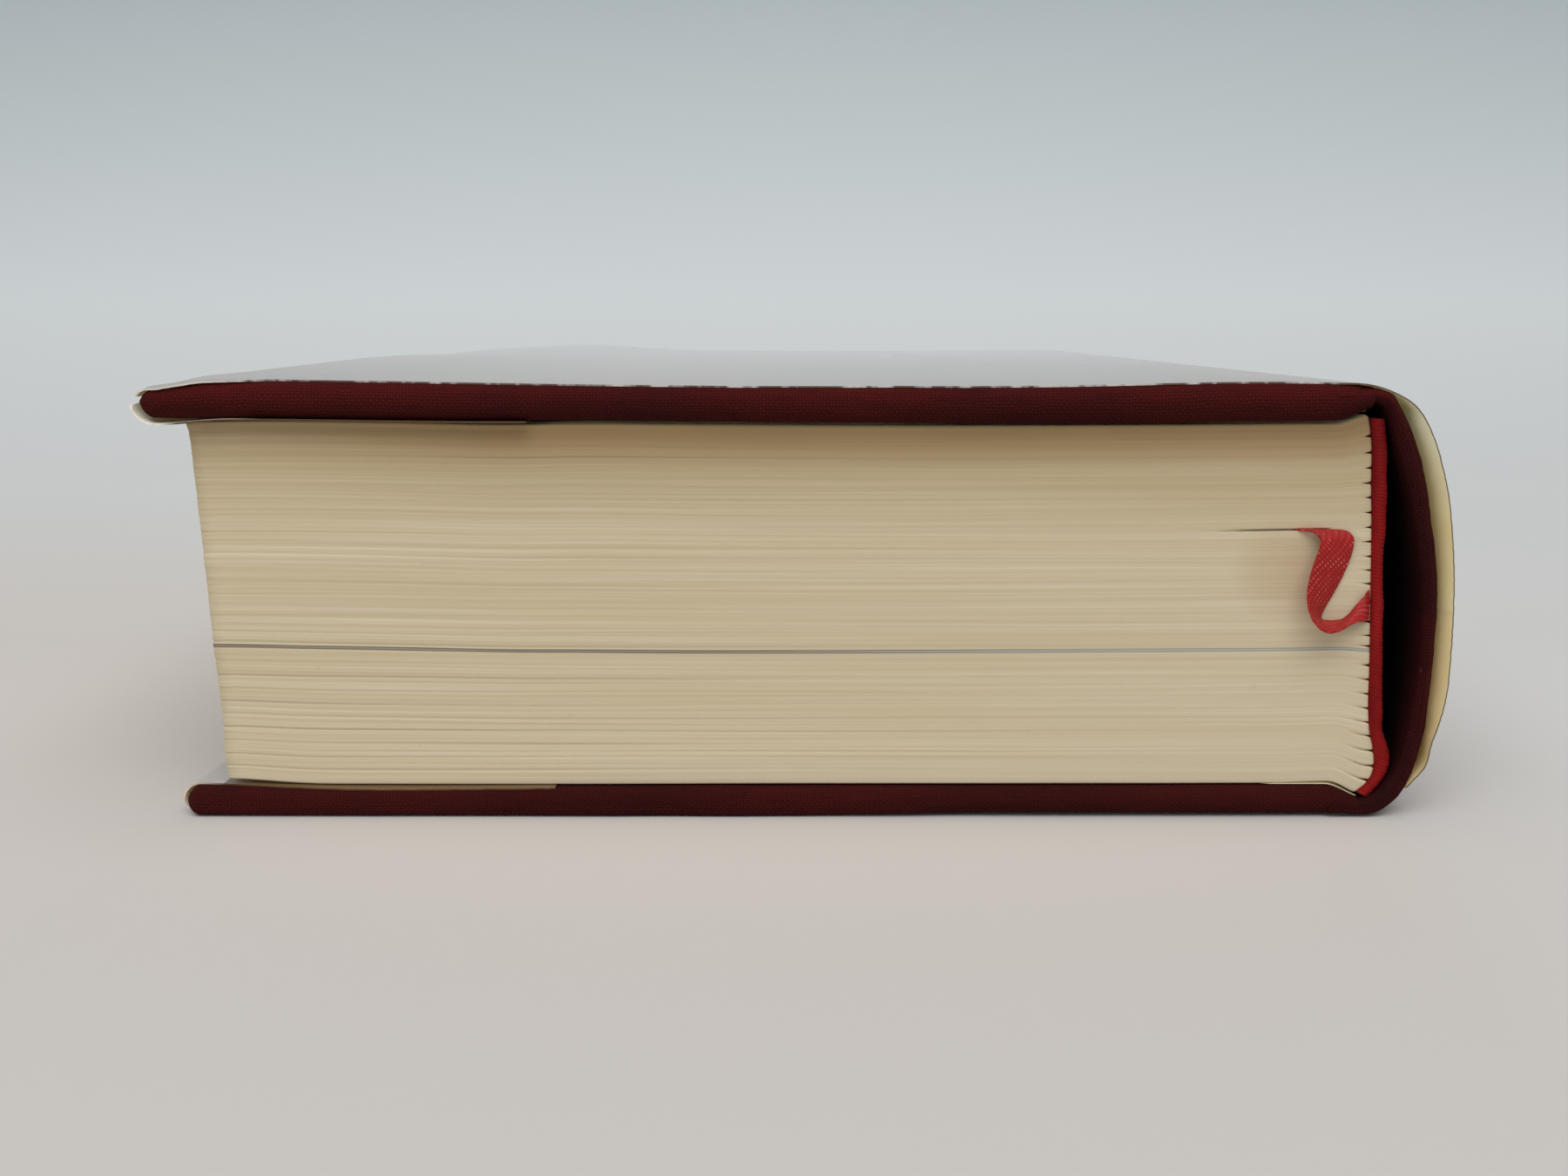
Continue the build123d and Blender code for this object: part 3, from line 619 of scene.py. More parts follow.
def build_pages():
    # heights of the gaps between the sewn sections, seen at the spine
    gaps = [4.22, 5.97, 7.82, 9.67, 11.40, 13.13, 14.86, 16.57, 18.29, 20.80, 22.07, 23.71, 26.10, 28.29, 29.97, 31.64,
            33.36, 35.02, 36.78, 38.64, 40.39, 42.13, 43.87, 45.81]

    def level(x, v):
        """Height of a leaf at x; v is 0 for the last leaf and 1 for the first."""
        low, top = last_leaf(x), first_leaf(x)
        z = low + (top - low) * v
        # the last leaves lift at the fore-edge, and all sag in the middle
        z += 0.68 * smooth(-56.0, -70.5, x) ** 1.3 * (1 - v) ** 3
        sag = smooth(-76, -5, x) * (1 - 0.35 * smooth(10, 68, x))
        z -= sag * 0.42 * smooth(0.0, 0.35, v) * (1 - 0.85 * smooth(0.6, 1.0, v))
        # at the spine the first and last sections fan out over the shoulders
        z += 1.25 * smooth(62.8, 67.2, x) * v**9
        z -= 1.95 * smooth(64.2, 69.2, x) * (1 - v) ** 4.2
        return z

    fine = np.linspace(0, 1, 2001)
    edges = np.concatenate([[0.0], np.interp(gaps, level(np.full(2001, 68.6), fine), fine), [1.0]])
    per = 12
    v, s, sec = [0.0], [0.0], [0]
    for k in range(len(edges) - 1):
        for i in range(1, per + 1):
            v.append(edges[k] + (edges[k + 1] - edges[k]) * i / per)
            s.append(i / per)
            sec.append(k)
    v, s, sec = np.array(v), np.array(s), np.array(sec)
    nv = len(v)
    gap = np.abs(2 * s - 1) ** 14
    notch = np.abs(2 * s - 1) ** 13
    gap[0] = gap[-1] = notch[0] = notch[-1] = 0.4
    a = np.concatenate([np.linspace(0, 0.93, 60)[:-1], np.linspace(0.93, 0.985, 12)[:-1], np.linspace(0.985, 1, 9)])
    na = len(a)

    fore = soft_table([(-0.05, -69.55), (0.01, -69.6), (0.05, -69.73), (0.195, -69.87), (0.39, -70.4), (0.684, -70.98), (0.862, -71.43), (0.92, -71.57), (0.97, -71.75), (1.0, -72.05), (1.05, -72.3)], v)
    spine = soft_table(
        [(1.5, 67.3), (2.68, 68.0), (3.67, 68.87), (4.77, 69.54), (6.41, 69.76), (8.04, 69.55), (10.2, 69.05), (12.4, 68.86), (18.8, 68.55),
         (25.2, 68.2), (31.5, 67.95), (39.8, 67.36), (45.9, 66.95), (48.3, 66.5), (49.5, 66.3)],
        level(np.full(nv, 68.6), v),
    )
    fore = fore + 0.05 * value_noise(3, 1, 27, nv)[0] + 0.03 * np.random.RandomState(5).uniform(-1, 1, nv)
    fore += 0.05 * gap * (sec < 11) + 0.02 * gap

    X = fore[:, None] + (spine - fore)[:, None] * a[None, :]
    # the back of each section is rounded, which leaves a notch between sections
    depth = 0.75 + 0.5 * np.random.RandomState(8).uniform(0, 1, 40)
    X -= (notch * depth[np.clip(sec + (s > 0.5), 0, 39)])[:, None] * smooth(0.9915, 1.0, a)[None, :]
    V = np.repeat(v[:, None], na, axis=1)
    Z = level(X, V)
    # leaves are never quite parallel
    Z += 0.06 * np.sin(X / 17.0 + V * 31.0) * smooth(0.02, 0.1, V) * smooth(1.0, 0.93, V)

    uneven = np.random.RandomState(9).uniform(0, 1, 40) ** 2

    def relief(seed):
        # the cut is cleaner towards the spine
        rough = 0.35 + 0.65 * smooth(45.0, -25.0, X)
        leaf = 0.022 * value_noise(seed, nv, 9, na) * rough
        part = 0.045 * value_noise(seed + 1, 26, 5, na)[np.clip(sec, 0, 25)] * rough
        deep = (np.random.RandomState(seed + 2).uniform(0, 1, nv) > 0.955)[:, None] * 0.07 * (
            0.5 + 0.5 * value_noise(seed + 3, nv, 6, na)
        ) * rough
        open_left = smooth(30, -60, X) * smooth(0.50, 0.34, V) * 0.12
        low_right = smooth(61.0, 67.5, X) * smooth(0.30, 0.12, V) * 0.16 * uneven[np.clip(sec + (s > 0.5), 0, 39)][:, None]
        open_right = smooth(66.0, 68.6, X) * 0.3
        return leaf + part + deep + gap[:, None] * (open_left + low_right + 0.004) + notch[:, None] * open_right

    # the marker parts the leaves a little to its left
    slit = int(np.argmin(np.abs(Z[:, int(na * 0.9)] - 34.9)))
    cut = np.zeros((nv, na))
    cut[slit] = 1.0
    head_in = relief(20) + cut * 1.6 * smooth(49.5, 57.5, X) * smooth(63.0, 61.5, X)
    tail_in = relief(40)

    ny = 26
    ys = np.linspace(0, 1, ny)
    b = Build()
    yh, yt = PAGE_HEAD + head_in, PAGE_TAIL - tail_in
    head = np.stack([X, yh, Z], axis=-1)
    # away from the head the slant and the sag stay the same; leaf edges wander a little
    drift = 0.05 * value_noise(60, nv, 7, ny)
    tail = np.stack([X, yt, Z], axis=-1)
    hid = np.arange(nv * na).reshape(nv, na) + b.add(head)
    tid = np.arange(nv * na).reshape(nv, na) + b.add(tail)
    U = X / 200.0
    b.quads(hid, np.stack([U, V], axis=-1), 0, flip=True)
    b.quads(tid, np.stack([U + 3.0, V], axis=-1), 0)

    def side(col, seed_u, outward, flip):
        """Fore-edge or spine face between the head and the tail face."""
        ids = np.zeros((nv, ny), int)
        ids[:, 0], ids[:, -1] = hid[:, col], tid[:, col]
        mid = np.zeros((nv, ny - 2, 3))
        for k in range(1, ny - 1):
            t = ys[k]
            p = head[:, col] * (1 - t) + tail[:, col] * t
            p = p.copy()
            p[:, 0] += outward * drift[:, k]
            mid[:, k - 1] = p
        start = b.add(mid)
        ids[:, 1:-1] = np.arange(nv * (ny - 2)).reshape(nv, ny - 2) + start
        y = np.repeat((PAGE_HEAD + (PAGE_TAIL - PAGE_HEAD) * ys)[None, :], nv, axis=0)
        vv = np.repeat(v[:, None], ny, axis=1)
        b.quads(ids, np.stack([y / 200.0 + seed_u, vv], axis=-1), 0, flip=flip)
        return ids

    fid = side(0, 7.0, -1, False)
    sid = side(-1, 11.0, 1, True)

    def cap(row, flip, v_at):
        """First or last leaf, joined to the four faces."""
        ids = np.zeros((na, ny), int)
        ids[:, 0], ids[:, -1] = hid[row], tid[row]
        ids[0], ids[-1] = fid[row], sid[row]
        inner = np.zeros((na - 2, ny - 2, 3))
        for k in range(1, ny - 1):
            t = ys[k]
            inner[:, k - 1] = head[row, 1:-1] * (1 - t) + tail[row, 1:-1] * t
        start = b.add(inner)
        ids[1:-1, 1:-1] = np.arange((na - 2) * (ny - 2)).reshape(na - 2, ny - 2) + start
        uv = np.zeros((na, ny, 2))
        uv[..., 0] = (X[row] / 200.0)[:, None] + ys[None, :] * 0.2
        uv[..., 1] = v_at
        b.quads(ids, uv, 1, flip=flip)

    cap(0, True, 0.02)
    cap(nv - 1, False, 0.98)
    o = b.object("pages", [PAGES, ENDPAPER], sharp=180)
    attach(o, "book_block")
    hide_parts("text_block")
    return o


# ------------------------------------------------------------------ cloth on the boards
def rounded_board(name, x0, x1, outside, inside, square, slope, inner, warp, body, node, core=0.0, bend=None):
    """A board in its cloth, or the board itself (core is how far it lies inside the cloth): rounded edges all round,
    and the inner face sloping off towards the joint. outside, inside and square are functions of x: the two faces, and
    how sharp the outer edge is.
    inner is -1 where the inside faces down and 1 where it faces up; bend, when given, leaves the piece unattached with
    its place baked into the mesh, and the points in it are not used."""
    r = 1.75
    head, tail = HEAD + core, TAIL - core
    x0, x1 = x0 + core, x1 - 3 * core
    fore = x0 + r * (1 - np.cos(np.linspace(0, math.pi / 2, 9)))
    body_x = np.linspace(x0 + r, slope, 66)[1:]
    joint = np.linspace(slope, x1, 16)[1:]
    xs = np.concatenate([fore, body_x, joint])
    # the rounded section from head to tail, as a loop round the thickness
    flat = np.concatenate([np.linspace(head + r, head + 12, 8), np.linspace(head + 12, tail - 12, 44)[1:], np.linspace(tail - 12, tail - r, 8)[1:]])
    arc = np.linspace(0, math.pi, 19)[1:-1]
    ni, m = len(xs), len(flat)
    grid = np.zeros((ni, 2 * (m + len(arc)), 3))
    for i, x in enumerate(xs):
        # a rounder or squarer edge
        p = np.where(np.cos(arc) > 0, float(square(x)), 2.1)
        size = (np.abs(np.cos(arc)) ** p + np.sin(arc) ** p) ** (1 / p)
        c, s = np.cos(arc) / size, np.sin(arc) / size
        loop_y = np.concatenate([flat, (tail - r) + r * s, flat[::-1], (head + r) - r * s[::-1]])
        loop_c = np.concatenate([np.ones(m), c, -np.ones(m), c[::-1]])  # +1 outside, -1 inside
        # shrink at the fore-edge end, as a quarter circle
        f = np.clip((x - x0) / r, 0, 1)
        k = math.sqrt(max(1 - (1 - f) ** 2, 0.0))
        pull = r * (1 - k)
        z_out, z_in = float(outside(x)) - inner * -core, float(inside(x)) - inner * core
        mid = (z_out + z_in) / 2
        z_out, z_in = mid + (z_out - mid) * k, mid + (z_in - mid) * k
        z_in -= inner * float(joint_slope(x, slope))
        z_out += inner * 0.25 * float(smooth(slope + 1.2, slope + 5.2, x))
        grid[i, :, 0] = x
        grid[i, :, 1] = np.sign(loop_y) * np.maximum(np.abs(loop_y) - pull, 0)
        grid[i, :, 2] = (z_out + z_in) / 2 + loop_c * (z_out - z_in) / 2
    half = 1.9
    # fine unevenness of the wrapped edge
    rim = np.maximum(smooth(103.0, 106.5, np.abs(grid[..., 1])), smooth(-69.5, -74.0, grid[..., 0]))
    grid[..., 2] += 0.05 * rim * wobble(71, grid[..., 0], grid[..., 1], 9.0)
    grid[..., 1] += 0.10 * wobble(72, grid[..., 0], grid[..., 2], 7.0) * np.sign(grid[..., 1]) * smooth(106, 109, np.abs(grid[..., 1]))
    if not warp and not core:
        # the lower edge at the head hangs a little over its left half
        hang = smooth(28.0, -12.0, grid[..., 0]) * smooth(-106.9, -108.3, grid[..., 1]) * np.clip(loop_c, 0, 1)[None, :]
        grid[..., 2] -= 0.30 * hang
        # away from that edge the outer face is level, under the jacket
        under = smooth(-107.4, -105.0, grid[..., 1]) * np.clip(loop_c, 0, 1)[None, :]
        grid[..., 2] += 0.17 * smooth(28.0, -12.0, grid[..., 0]) * under
    if warp:
        # the corner at the head is knocked in: thinner towards its tip
        tip = smooth(-90.0, -106.0, grid[..., 1])
        grid[..., 2] -= 0.75 * smooth(-68.5, -77.2, grid[..., 0]) * tip * np.clip(loop_c, 0, 1)[None, :]
        grid[..., 2] += 0.12 * smooth(-71.5, -76.5, grid[..., 0]) * tip * np.clip(-loop_c, 0, 1)[None, :]
        grid[..., 2] += cover_warp(grid[..., 0], grid[..., 1])
    b = Build()
    start = b.add(grid)
    n = len(loop_y)
    ids = np.arange(ni * n).reshape(ni, n) + start
    ids = np.concatenate([ids, ids[:, :1]], axis=1)
    ring = np.concatenate([[0], np.cumsum(np.hypot(np.diff(np.append(loop_y, loop_y[0])), np.diff(np.append(loop_c, loop_c[0])) * half))])
    uv = grid_uv(xs / 100.0, ring / 100.0)
    b.quads(ids, uv, 0, flip=inner > 0)
    # the two ends
    q = len(arc)
    for row, flip in ((0, inner > 0), (ni - 1, inner < 0)):
        loop = ids[row, :-1]
        top, bot = loop[:m], loop[m + q : 2 * m + q][::-1]
        b.quads(np.stack([top, bot], axis=0), grid_uv([0.0, 0.01], flat / 100.0), 0, flip=not flip)
        for part in (loop[m - 1 : m + q + 1], np.append(loop[2 * m + q - 1 :], loop[0])):
            b.fan(part, flip, 0)
    o = b.object(name, [BOARD if core else CLOTH], sharp=60)
    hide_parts(node)
    if bend:
        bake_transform(o)
    else:
        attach(o, body)
    return o


def build_spine_cloth(name, outer, inner):
    """Cloth over half of the spine and one joint: a long strip between an outer and an inner line, with rounded, turned-in ends."""
    both = curve([tuple(a) + tuple(b) for a, b in zip(outer, inner)], 72)
    O, I = both[:, :2], both[:, 2:]
    r = 1.0
    flat = np.concatenate([np.linspace(HEAD + r, HEAD + 14, 12), np.linspace(HEAD + 14, TAIL - 14, 40)[1:], np.linspace(TAIL - 14, TAIL - r, 12)[1:]])
    arc = np.linspace(0, math.pi, 13)[1:-1]
    loop_y = np.concatenate([flat, (TAIL - r) + r * np.sin(arc), flat[::-1], (HEAD + r) - r * np.sin(arc)])
    loop_t = np.concatenate([np.zeros(len(flat)), (1 - np.cos(arc)) / 2, np.ones(len(flat)), (1 + np.cos(arc)) / 2])
    n, ni = len(loop_y), len(both)
    # the turned-in cloth at the ends is thicker than the single cloth between them
    ends = 0.5 + 0.5 * smooth(88.0, 96.0, np.abs(loop_y))
    grid = np.zeros((ni, n, 3))
    for i in range(ni):
        rough = smooth(105, 109, np.abs(loop_y))
        t = loop_t * ends
        t = t + 0.03 * wobble(83, np.full(n, i * 0.9), loop_y, 2.0) * rough
        grid[i, :, 0] = O[i, 0] * (1 - t) + I[i, 0] * t
        grid[i, :, 1] = loop_y + 0.12 * wobble(85, np.full(n, i * 1.3), loop_y, 3.0) * rough
        grid[i, :, 2] = O[i, 1] * (1 - t) + I[i, 1] * t
    b = Build()
    s0 = b.add(grid)
    ids = np.arange(ni * n).reshape(ni, n) + s0
    ids = np.concatenate([ids, ids[:, :1]], axis=1)
    ring = np.concatenate([[0], np.cumsum(np.hypot(np.diff(np.append(loop_y, loop_y[0])), np.diff(np.append(loop_t, loop_t[0])) * 1.8))])
    uv = grid_uv(lengths(O) / 100.0, ring / 100.0)
    m, q = len(flat), len(arc)
    a, c = m + q // 2, 2 * m + q + q // 2
    b.quads(ids[:, : a + 1], uv[:, : a + 1], 0)
    b.quads(ids[:, a : c + 1], uv[:, a : c + 1], 1)
    b.quads(ids[:, c:], uv[:, c:], 0)
    for row, flip in ((0, False), (ni - 1, True)):
        loop = ids[row, :-1]
        top, bot = loop[:m], loop[m + q : 2 * m + q][::-1]
        b.quads(np.stack([top, bot], axis=0), grid_uv([0.0, 0.01], flat / 100.0), 0, flip=not flip)
        for part in (loop[m - 1 : m + q + 1], np.append(loop[2 * m + q - 1 :], loop[0])):
            b.fan(part, flip, 0)
    o = b.object(name, [CLOTH, CLOTH_HOLLOW], sharp=60)
    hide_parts("spine_cloth")
    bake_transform(o)
    return o


# ------------------------------------------------------------------ jacket
def jacket_half(name, path, y_head, y_tail, lift, nodes, split):
    """Half of the jacket: flap, fold, panel and half of the spine, as one sheet. path runs from the flap's edge to the middle of the spine."""
    u = lengths(path)
    ny = 120
    k = np.linspace(0, 1, ny)
    k = k + 0.06 * np.sin(2 * math.pi * k) / (2 * math.pi) * -1
    Y = y_head[:, None] * (1 - k)[None, :] + y_tail[:, None] * k[None, :]
    P = np.zeros((len(path), ny, 3))
    P[..., 0] = path[:, 0][:, None]
    P[..., 1] = Y
    P[..., 2] = path[:, 1][:, None]
    P = lift(P, u)
    vv = Y / 100.0
    uu = np.repeat(u[:, None] / 100.0, ny, axis=1)
    o = sheet(name, P, 0.2, [JACKET_OUT, JACKET_IN, JACKET_EDGE, JACKET_FLAP], uu, vv, sharp=50, split=split)
    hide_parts(*nodes)
    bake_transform(o)
    return o


def front_jacket():
    low, top = FRONT_IN - 0.24, FRONT_OUT + 0.2
    cz, r = (low + top) / 2, (top - low) / 2
    cx = -77.35 + r
    flap = np.stack([np.linspace(-31.7, cx, 44), np.full(44, cz - r)], axis=1)
    ang = np.linspace(-math.pi / 2, -3 * math.pi / 2, 34)[1:-1]
    fold = np.stack([cx + r * np.cos(ang), cz + r * np.sin(ang)], axis=1)
    panel_x = np.concatenate([np.linspace(cx, -46, 70), np.linspace(-46, 64.6, 56)[1:]])
    panel = np.stack([panel_x, np.full(len(panel_x), cz + r)], axis=1)
    spine = curve([(64.6, 52.0)] + JACKET_TOP, 80)[1:]
    path = np.concatenate([flap, fold, panel, spine])
    part = np.concatenate([np.full(len(flap), 0), np.full(len(fold), 1), np.full(len(panel), 2), np.full(len(spine), 3)])
    n = len(path)
    TEAR = 0.06
    tip = np.zeros(n)
    tip[part == 1] = np.linspace(-1, 1, len(fold))  # -1 at the flap side of the fold, 1 at the panel side
    tip[part == 0] = -1
    tip[part >= 2] = 1
    rr = np.random.RandomState(11)
    head = np.full(n, -JACKET_HALF) + 0.05 * rr.uniform(-1, 1, n)
    # the panel has slipped back from the head of the board
    head += np.where(part == 2, 0.45 * smooth(-74.0, -66.0, path[:, 0]) + 0.8 * smooth(-68.0, -60.0, path[:, 0]) * smooth(67.0, 58.0, path[:, 0]), 0)
    # chips out of the head edge of the panel
    for x, w, depth in ((-61.6, 0.6, 0.9), (-60.2, 0.45, 0.5), (-55.2, 0.9, 0.35), (-51.6, 0.5, 0.4), (-30.0, 1.2, 0.2), (23.0, 1.6, 0.2)):
        head += np.where(part == 2, depth * np.exp(-(((path[:, 0] - x) / w) ** 2)), 0)
    # the fold is torn open at the head
    head += np.where(part == 1, 7.5 * np.maximum(0, 1 - np.abs(tip - TEAR) / 0.16) ** 0.8 + 0.25 * rr.uniform(0, 1, n) * np.exp(-(((tip - TEAR) / 0.35) ** 2)), 0)
    head += np.where((part == 1) & (tip > TEAR), 0.08, 0)
    # ragged edge of the part that curls down
    rag = 0.5 * value_noise(17, 1, 9, n)[0] + 0.3 * value_noise(18, 1, 60, n)[0]
    head += np.where((part == 1) & (tip < TEAR), np.clip(rag, -0.2, 0.8), 0)
    tail = np.full(n, JACKET_HALF) + 0.05 * rr.uniform(-1, 1, n)
    tail -= np.where(part == 1, 2.2 * np.maximum(0, 1 - np.abs(tip + 0.1) / 0.2), 0)
    tail -= np.where(part == 0, 1.1 * smooth(-74.0, -66.0, path[:, 0]), 0)
    # small nicks at the tail of the spine
    tail -= np.where(part == 3, 0.7 * np.exp(-(((path[:, 1] - 47.5) / 0.5) ** 2)), 0)

    def lift(P, u):
        x, y, z = P[..., 0].copy(), P[..., 1].copy(), P[..., 2].copy()
        t = np.repeat(tip[:, None], P.shape[1], axis=1)
        pt = np.repeat(part[:, None], P.shape[1], axis=1)
        on = np.where(pt <= 2, 1.0, smooth(70.0, 64.0, x))
        P[..., 2] += cover_warp(x, y) * on
        near = smooth(-95.0, -108.4, y)
        # upper side of the torn fold follows the knocked-in corner and stands off it a little
        up = np.where(pt == 2, smooth(-62.0, -74.0, x), np.where((pt == 1) & (t > TEAR), 1.0, 0.0)) * near
        taper = 0.72 * smooth(-68.5, -77.2, x) * smooth(-90.0, -106.0, y)
        P[..., 2] += 0.10 * up - np.where(pt == 2, taper, np.where((pt == 1) & (t > TEAR), taper * np.clip(t, 0, 1), 0.0))
        # near the corner the panel bends down over the edge of the cloth
        over = np.clip((np.abs(y) - 107.1) / 1.9, 0, 1) * smooth(-58.0, -64.0, x)
        bent = np.where(pt == 2, 1.0, np.where((pt == 1) & (t > TEAR), np.clip(t, 0, 1), 0.0)) * (y < 0)
        P[..., 2] -= bent * 0.7 * (1 - (1 - over**2.1) ** (1 / 2.1))
        # lower side curls away and down: a wider bend than the board
        lower = np.where(pt == 0, smooth(-66.5, -74.9, x), np.where((pt == 1) & (t <= TEAR), 1.0, 0.0)) * near
        wide = 0.20 * lower
        P[..., 0] += np.where(pt == 1, (x - cx) * wide, 0.0)
        P[..., 2] += np.where(pt == 1, (z - cz) * wide, -r * 0.20 * lower)
        # the flap is pressed against the pastedown further in, and follows the inside of the cover
        P[..., 2] += np.where(pt == 0, front_inside(x) - FRONT_IN, 0.0)
        # soft cockling of old paper
        P[..., 2] += np.where(pt == 2, 0.03 * wobble(91, x, y, 16.0) + 0.015 * wobble(92, x, y, 6.0) + 0.03, 0.0) * smooth(66, 60, x)
        spine_part = np.where(pt == 3, smooth(50.3, 47.0, z), 0)
        P[..., 0] += spine_part * (0.10 * wobble(93, y, z, 14.0) + 0.03 * wobble(94, y, z, 5.0))
        # the spine of the jacket stands off the cloth at its ends and lies closer to it between them
        open_end = np.clip((np.abs(y) - 104.0) / 4.8, 0, 1) ** 2
        P[..., 0] -= spine_part * 1.3 * (1 - open_end)
        return P

    return jacket_half(
        "jacket_front_half", path, head, tail, lift, ["jacket_front", "jacket_spine"],
        (0, len(flap) - 4),
    )


def rear_jacket():
    top = float(rear_inside(-72.9)) + 0.22
    cz = r = top / 2
    cx = -74.95 + r
    flap_x = np.linspace(-29.5, cx, 44)
    flap = np.stack([flap_x, rear_inside(flap_x) + 0.22], axis=1)
    ang = np.linspace(math.pi / 2, 3 * math.pi / 2, 34)[1:-1]
    fold = np.stack([cx + r * np.cos(ang), cz + r * np.sin(ang)], axis=1)
    panel = np.stack([np.linspace(cx, 66.8, 90), np.zeros(90)], axis=1)
    spine = curve([(66.8, 0.0)] + JACKET_LOW[::-1], 80)[1:]
    path = np.concatenate([flap, fold, panel, spine])[::-1]  # from the middle of the spine to the flap
    n = len(path)
    part = np.concatenate([np.full(len(flap), 0), np.full(len(fold), 1), np.full(len(panel), 2), np.full(len(spine), 3)])[::-1]
    rr = np.random.RandomState(12)
    head = np.full(n, -JACKET_HALF) + 0.05 * rr.uniform(-1, 1, n)
    # the flap lies over the rounded edge of the cloth, less so towards the fold
    head = np.where(part == 0, soft_table([(-90, -107.0), (-71, -107.0), (-65, -107.5), (-56, -108.02), (-40, -108.02), (-20, -108.0)], path[:, 0]) + 0.05 * rr.uniform(-1, 1, n), head)
    head = np.where(part == 1, -107.0 - 0.7 * np.sin(np.clip((path[:, 1]) / top, 0, 1) * math.pi), head)
    # the panel has slipped back from the head of the board, and the corner by the spine is worn away
    head += np.where(part == 2, 1.8 + 0.4 * smooth(-71.5, -66.0, path[:, 0]), 0)
    worn = smooth(3.9, 2.2, path[:, 1])
    head += np.where(part == 3, 5.5 * worn, 0)
    head = np.where(part == 2, head + 3.3 * smooth(40.0, 66.8, path[:, 0]), head)
    tail = np.full(n, JACKET_HALF) + 0.05 * rr.uniform(-1, 1, n)
    tail -= np.where(part == 0, 1.1 * smooth(-72.0, -64.0, path[:, 0]), 0)

    def lift(P, u):
        x, y, z = P[..., 0].copy(), P[..., 1].copy(), P[..., 2].copy()
        pt = np.repeat(part[:, None], P.shape[1], axis=1)
        # the flap bends down over the edge of the cloth
        over = np.clip((np.abs(y) - (109.0 - 1.75)) / 1.75, 0, 1)
        P[..., 2] -= np.where(pt == 0, 1.5 * (1 - (1 - over**2.1) ** (1 / 2.1)), 0.0)
        spine_part = np.where(pt == 3, smooth(7.0, 15.0, z), 0)
        P[..., 0] += spine_part * (0.10 * wobble(93, y, z, 14.0) + 0.03 * wobble(94, y, z, 5.0))
        # the spine of the jacket stands off the cloth at its ends and lies closer to it between them
        open_end = np.clip((np.abs(y) - 104.0) / 4.8, 0, 1) ** 2
        P[..., 0] -= spine_part * 1.3 * (1 - open_end)
        return P

    return jacket_half(
        "jacket_rear_half", path, head, tail, lift, ["jacket_rear", "jacket_spine"],
        (n - len(flap) + 3, n - 1),
    )


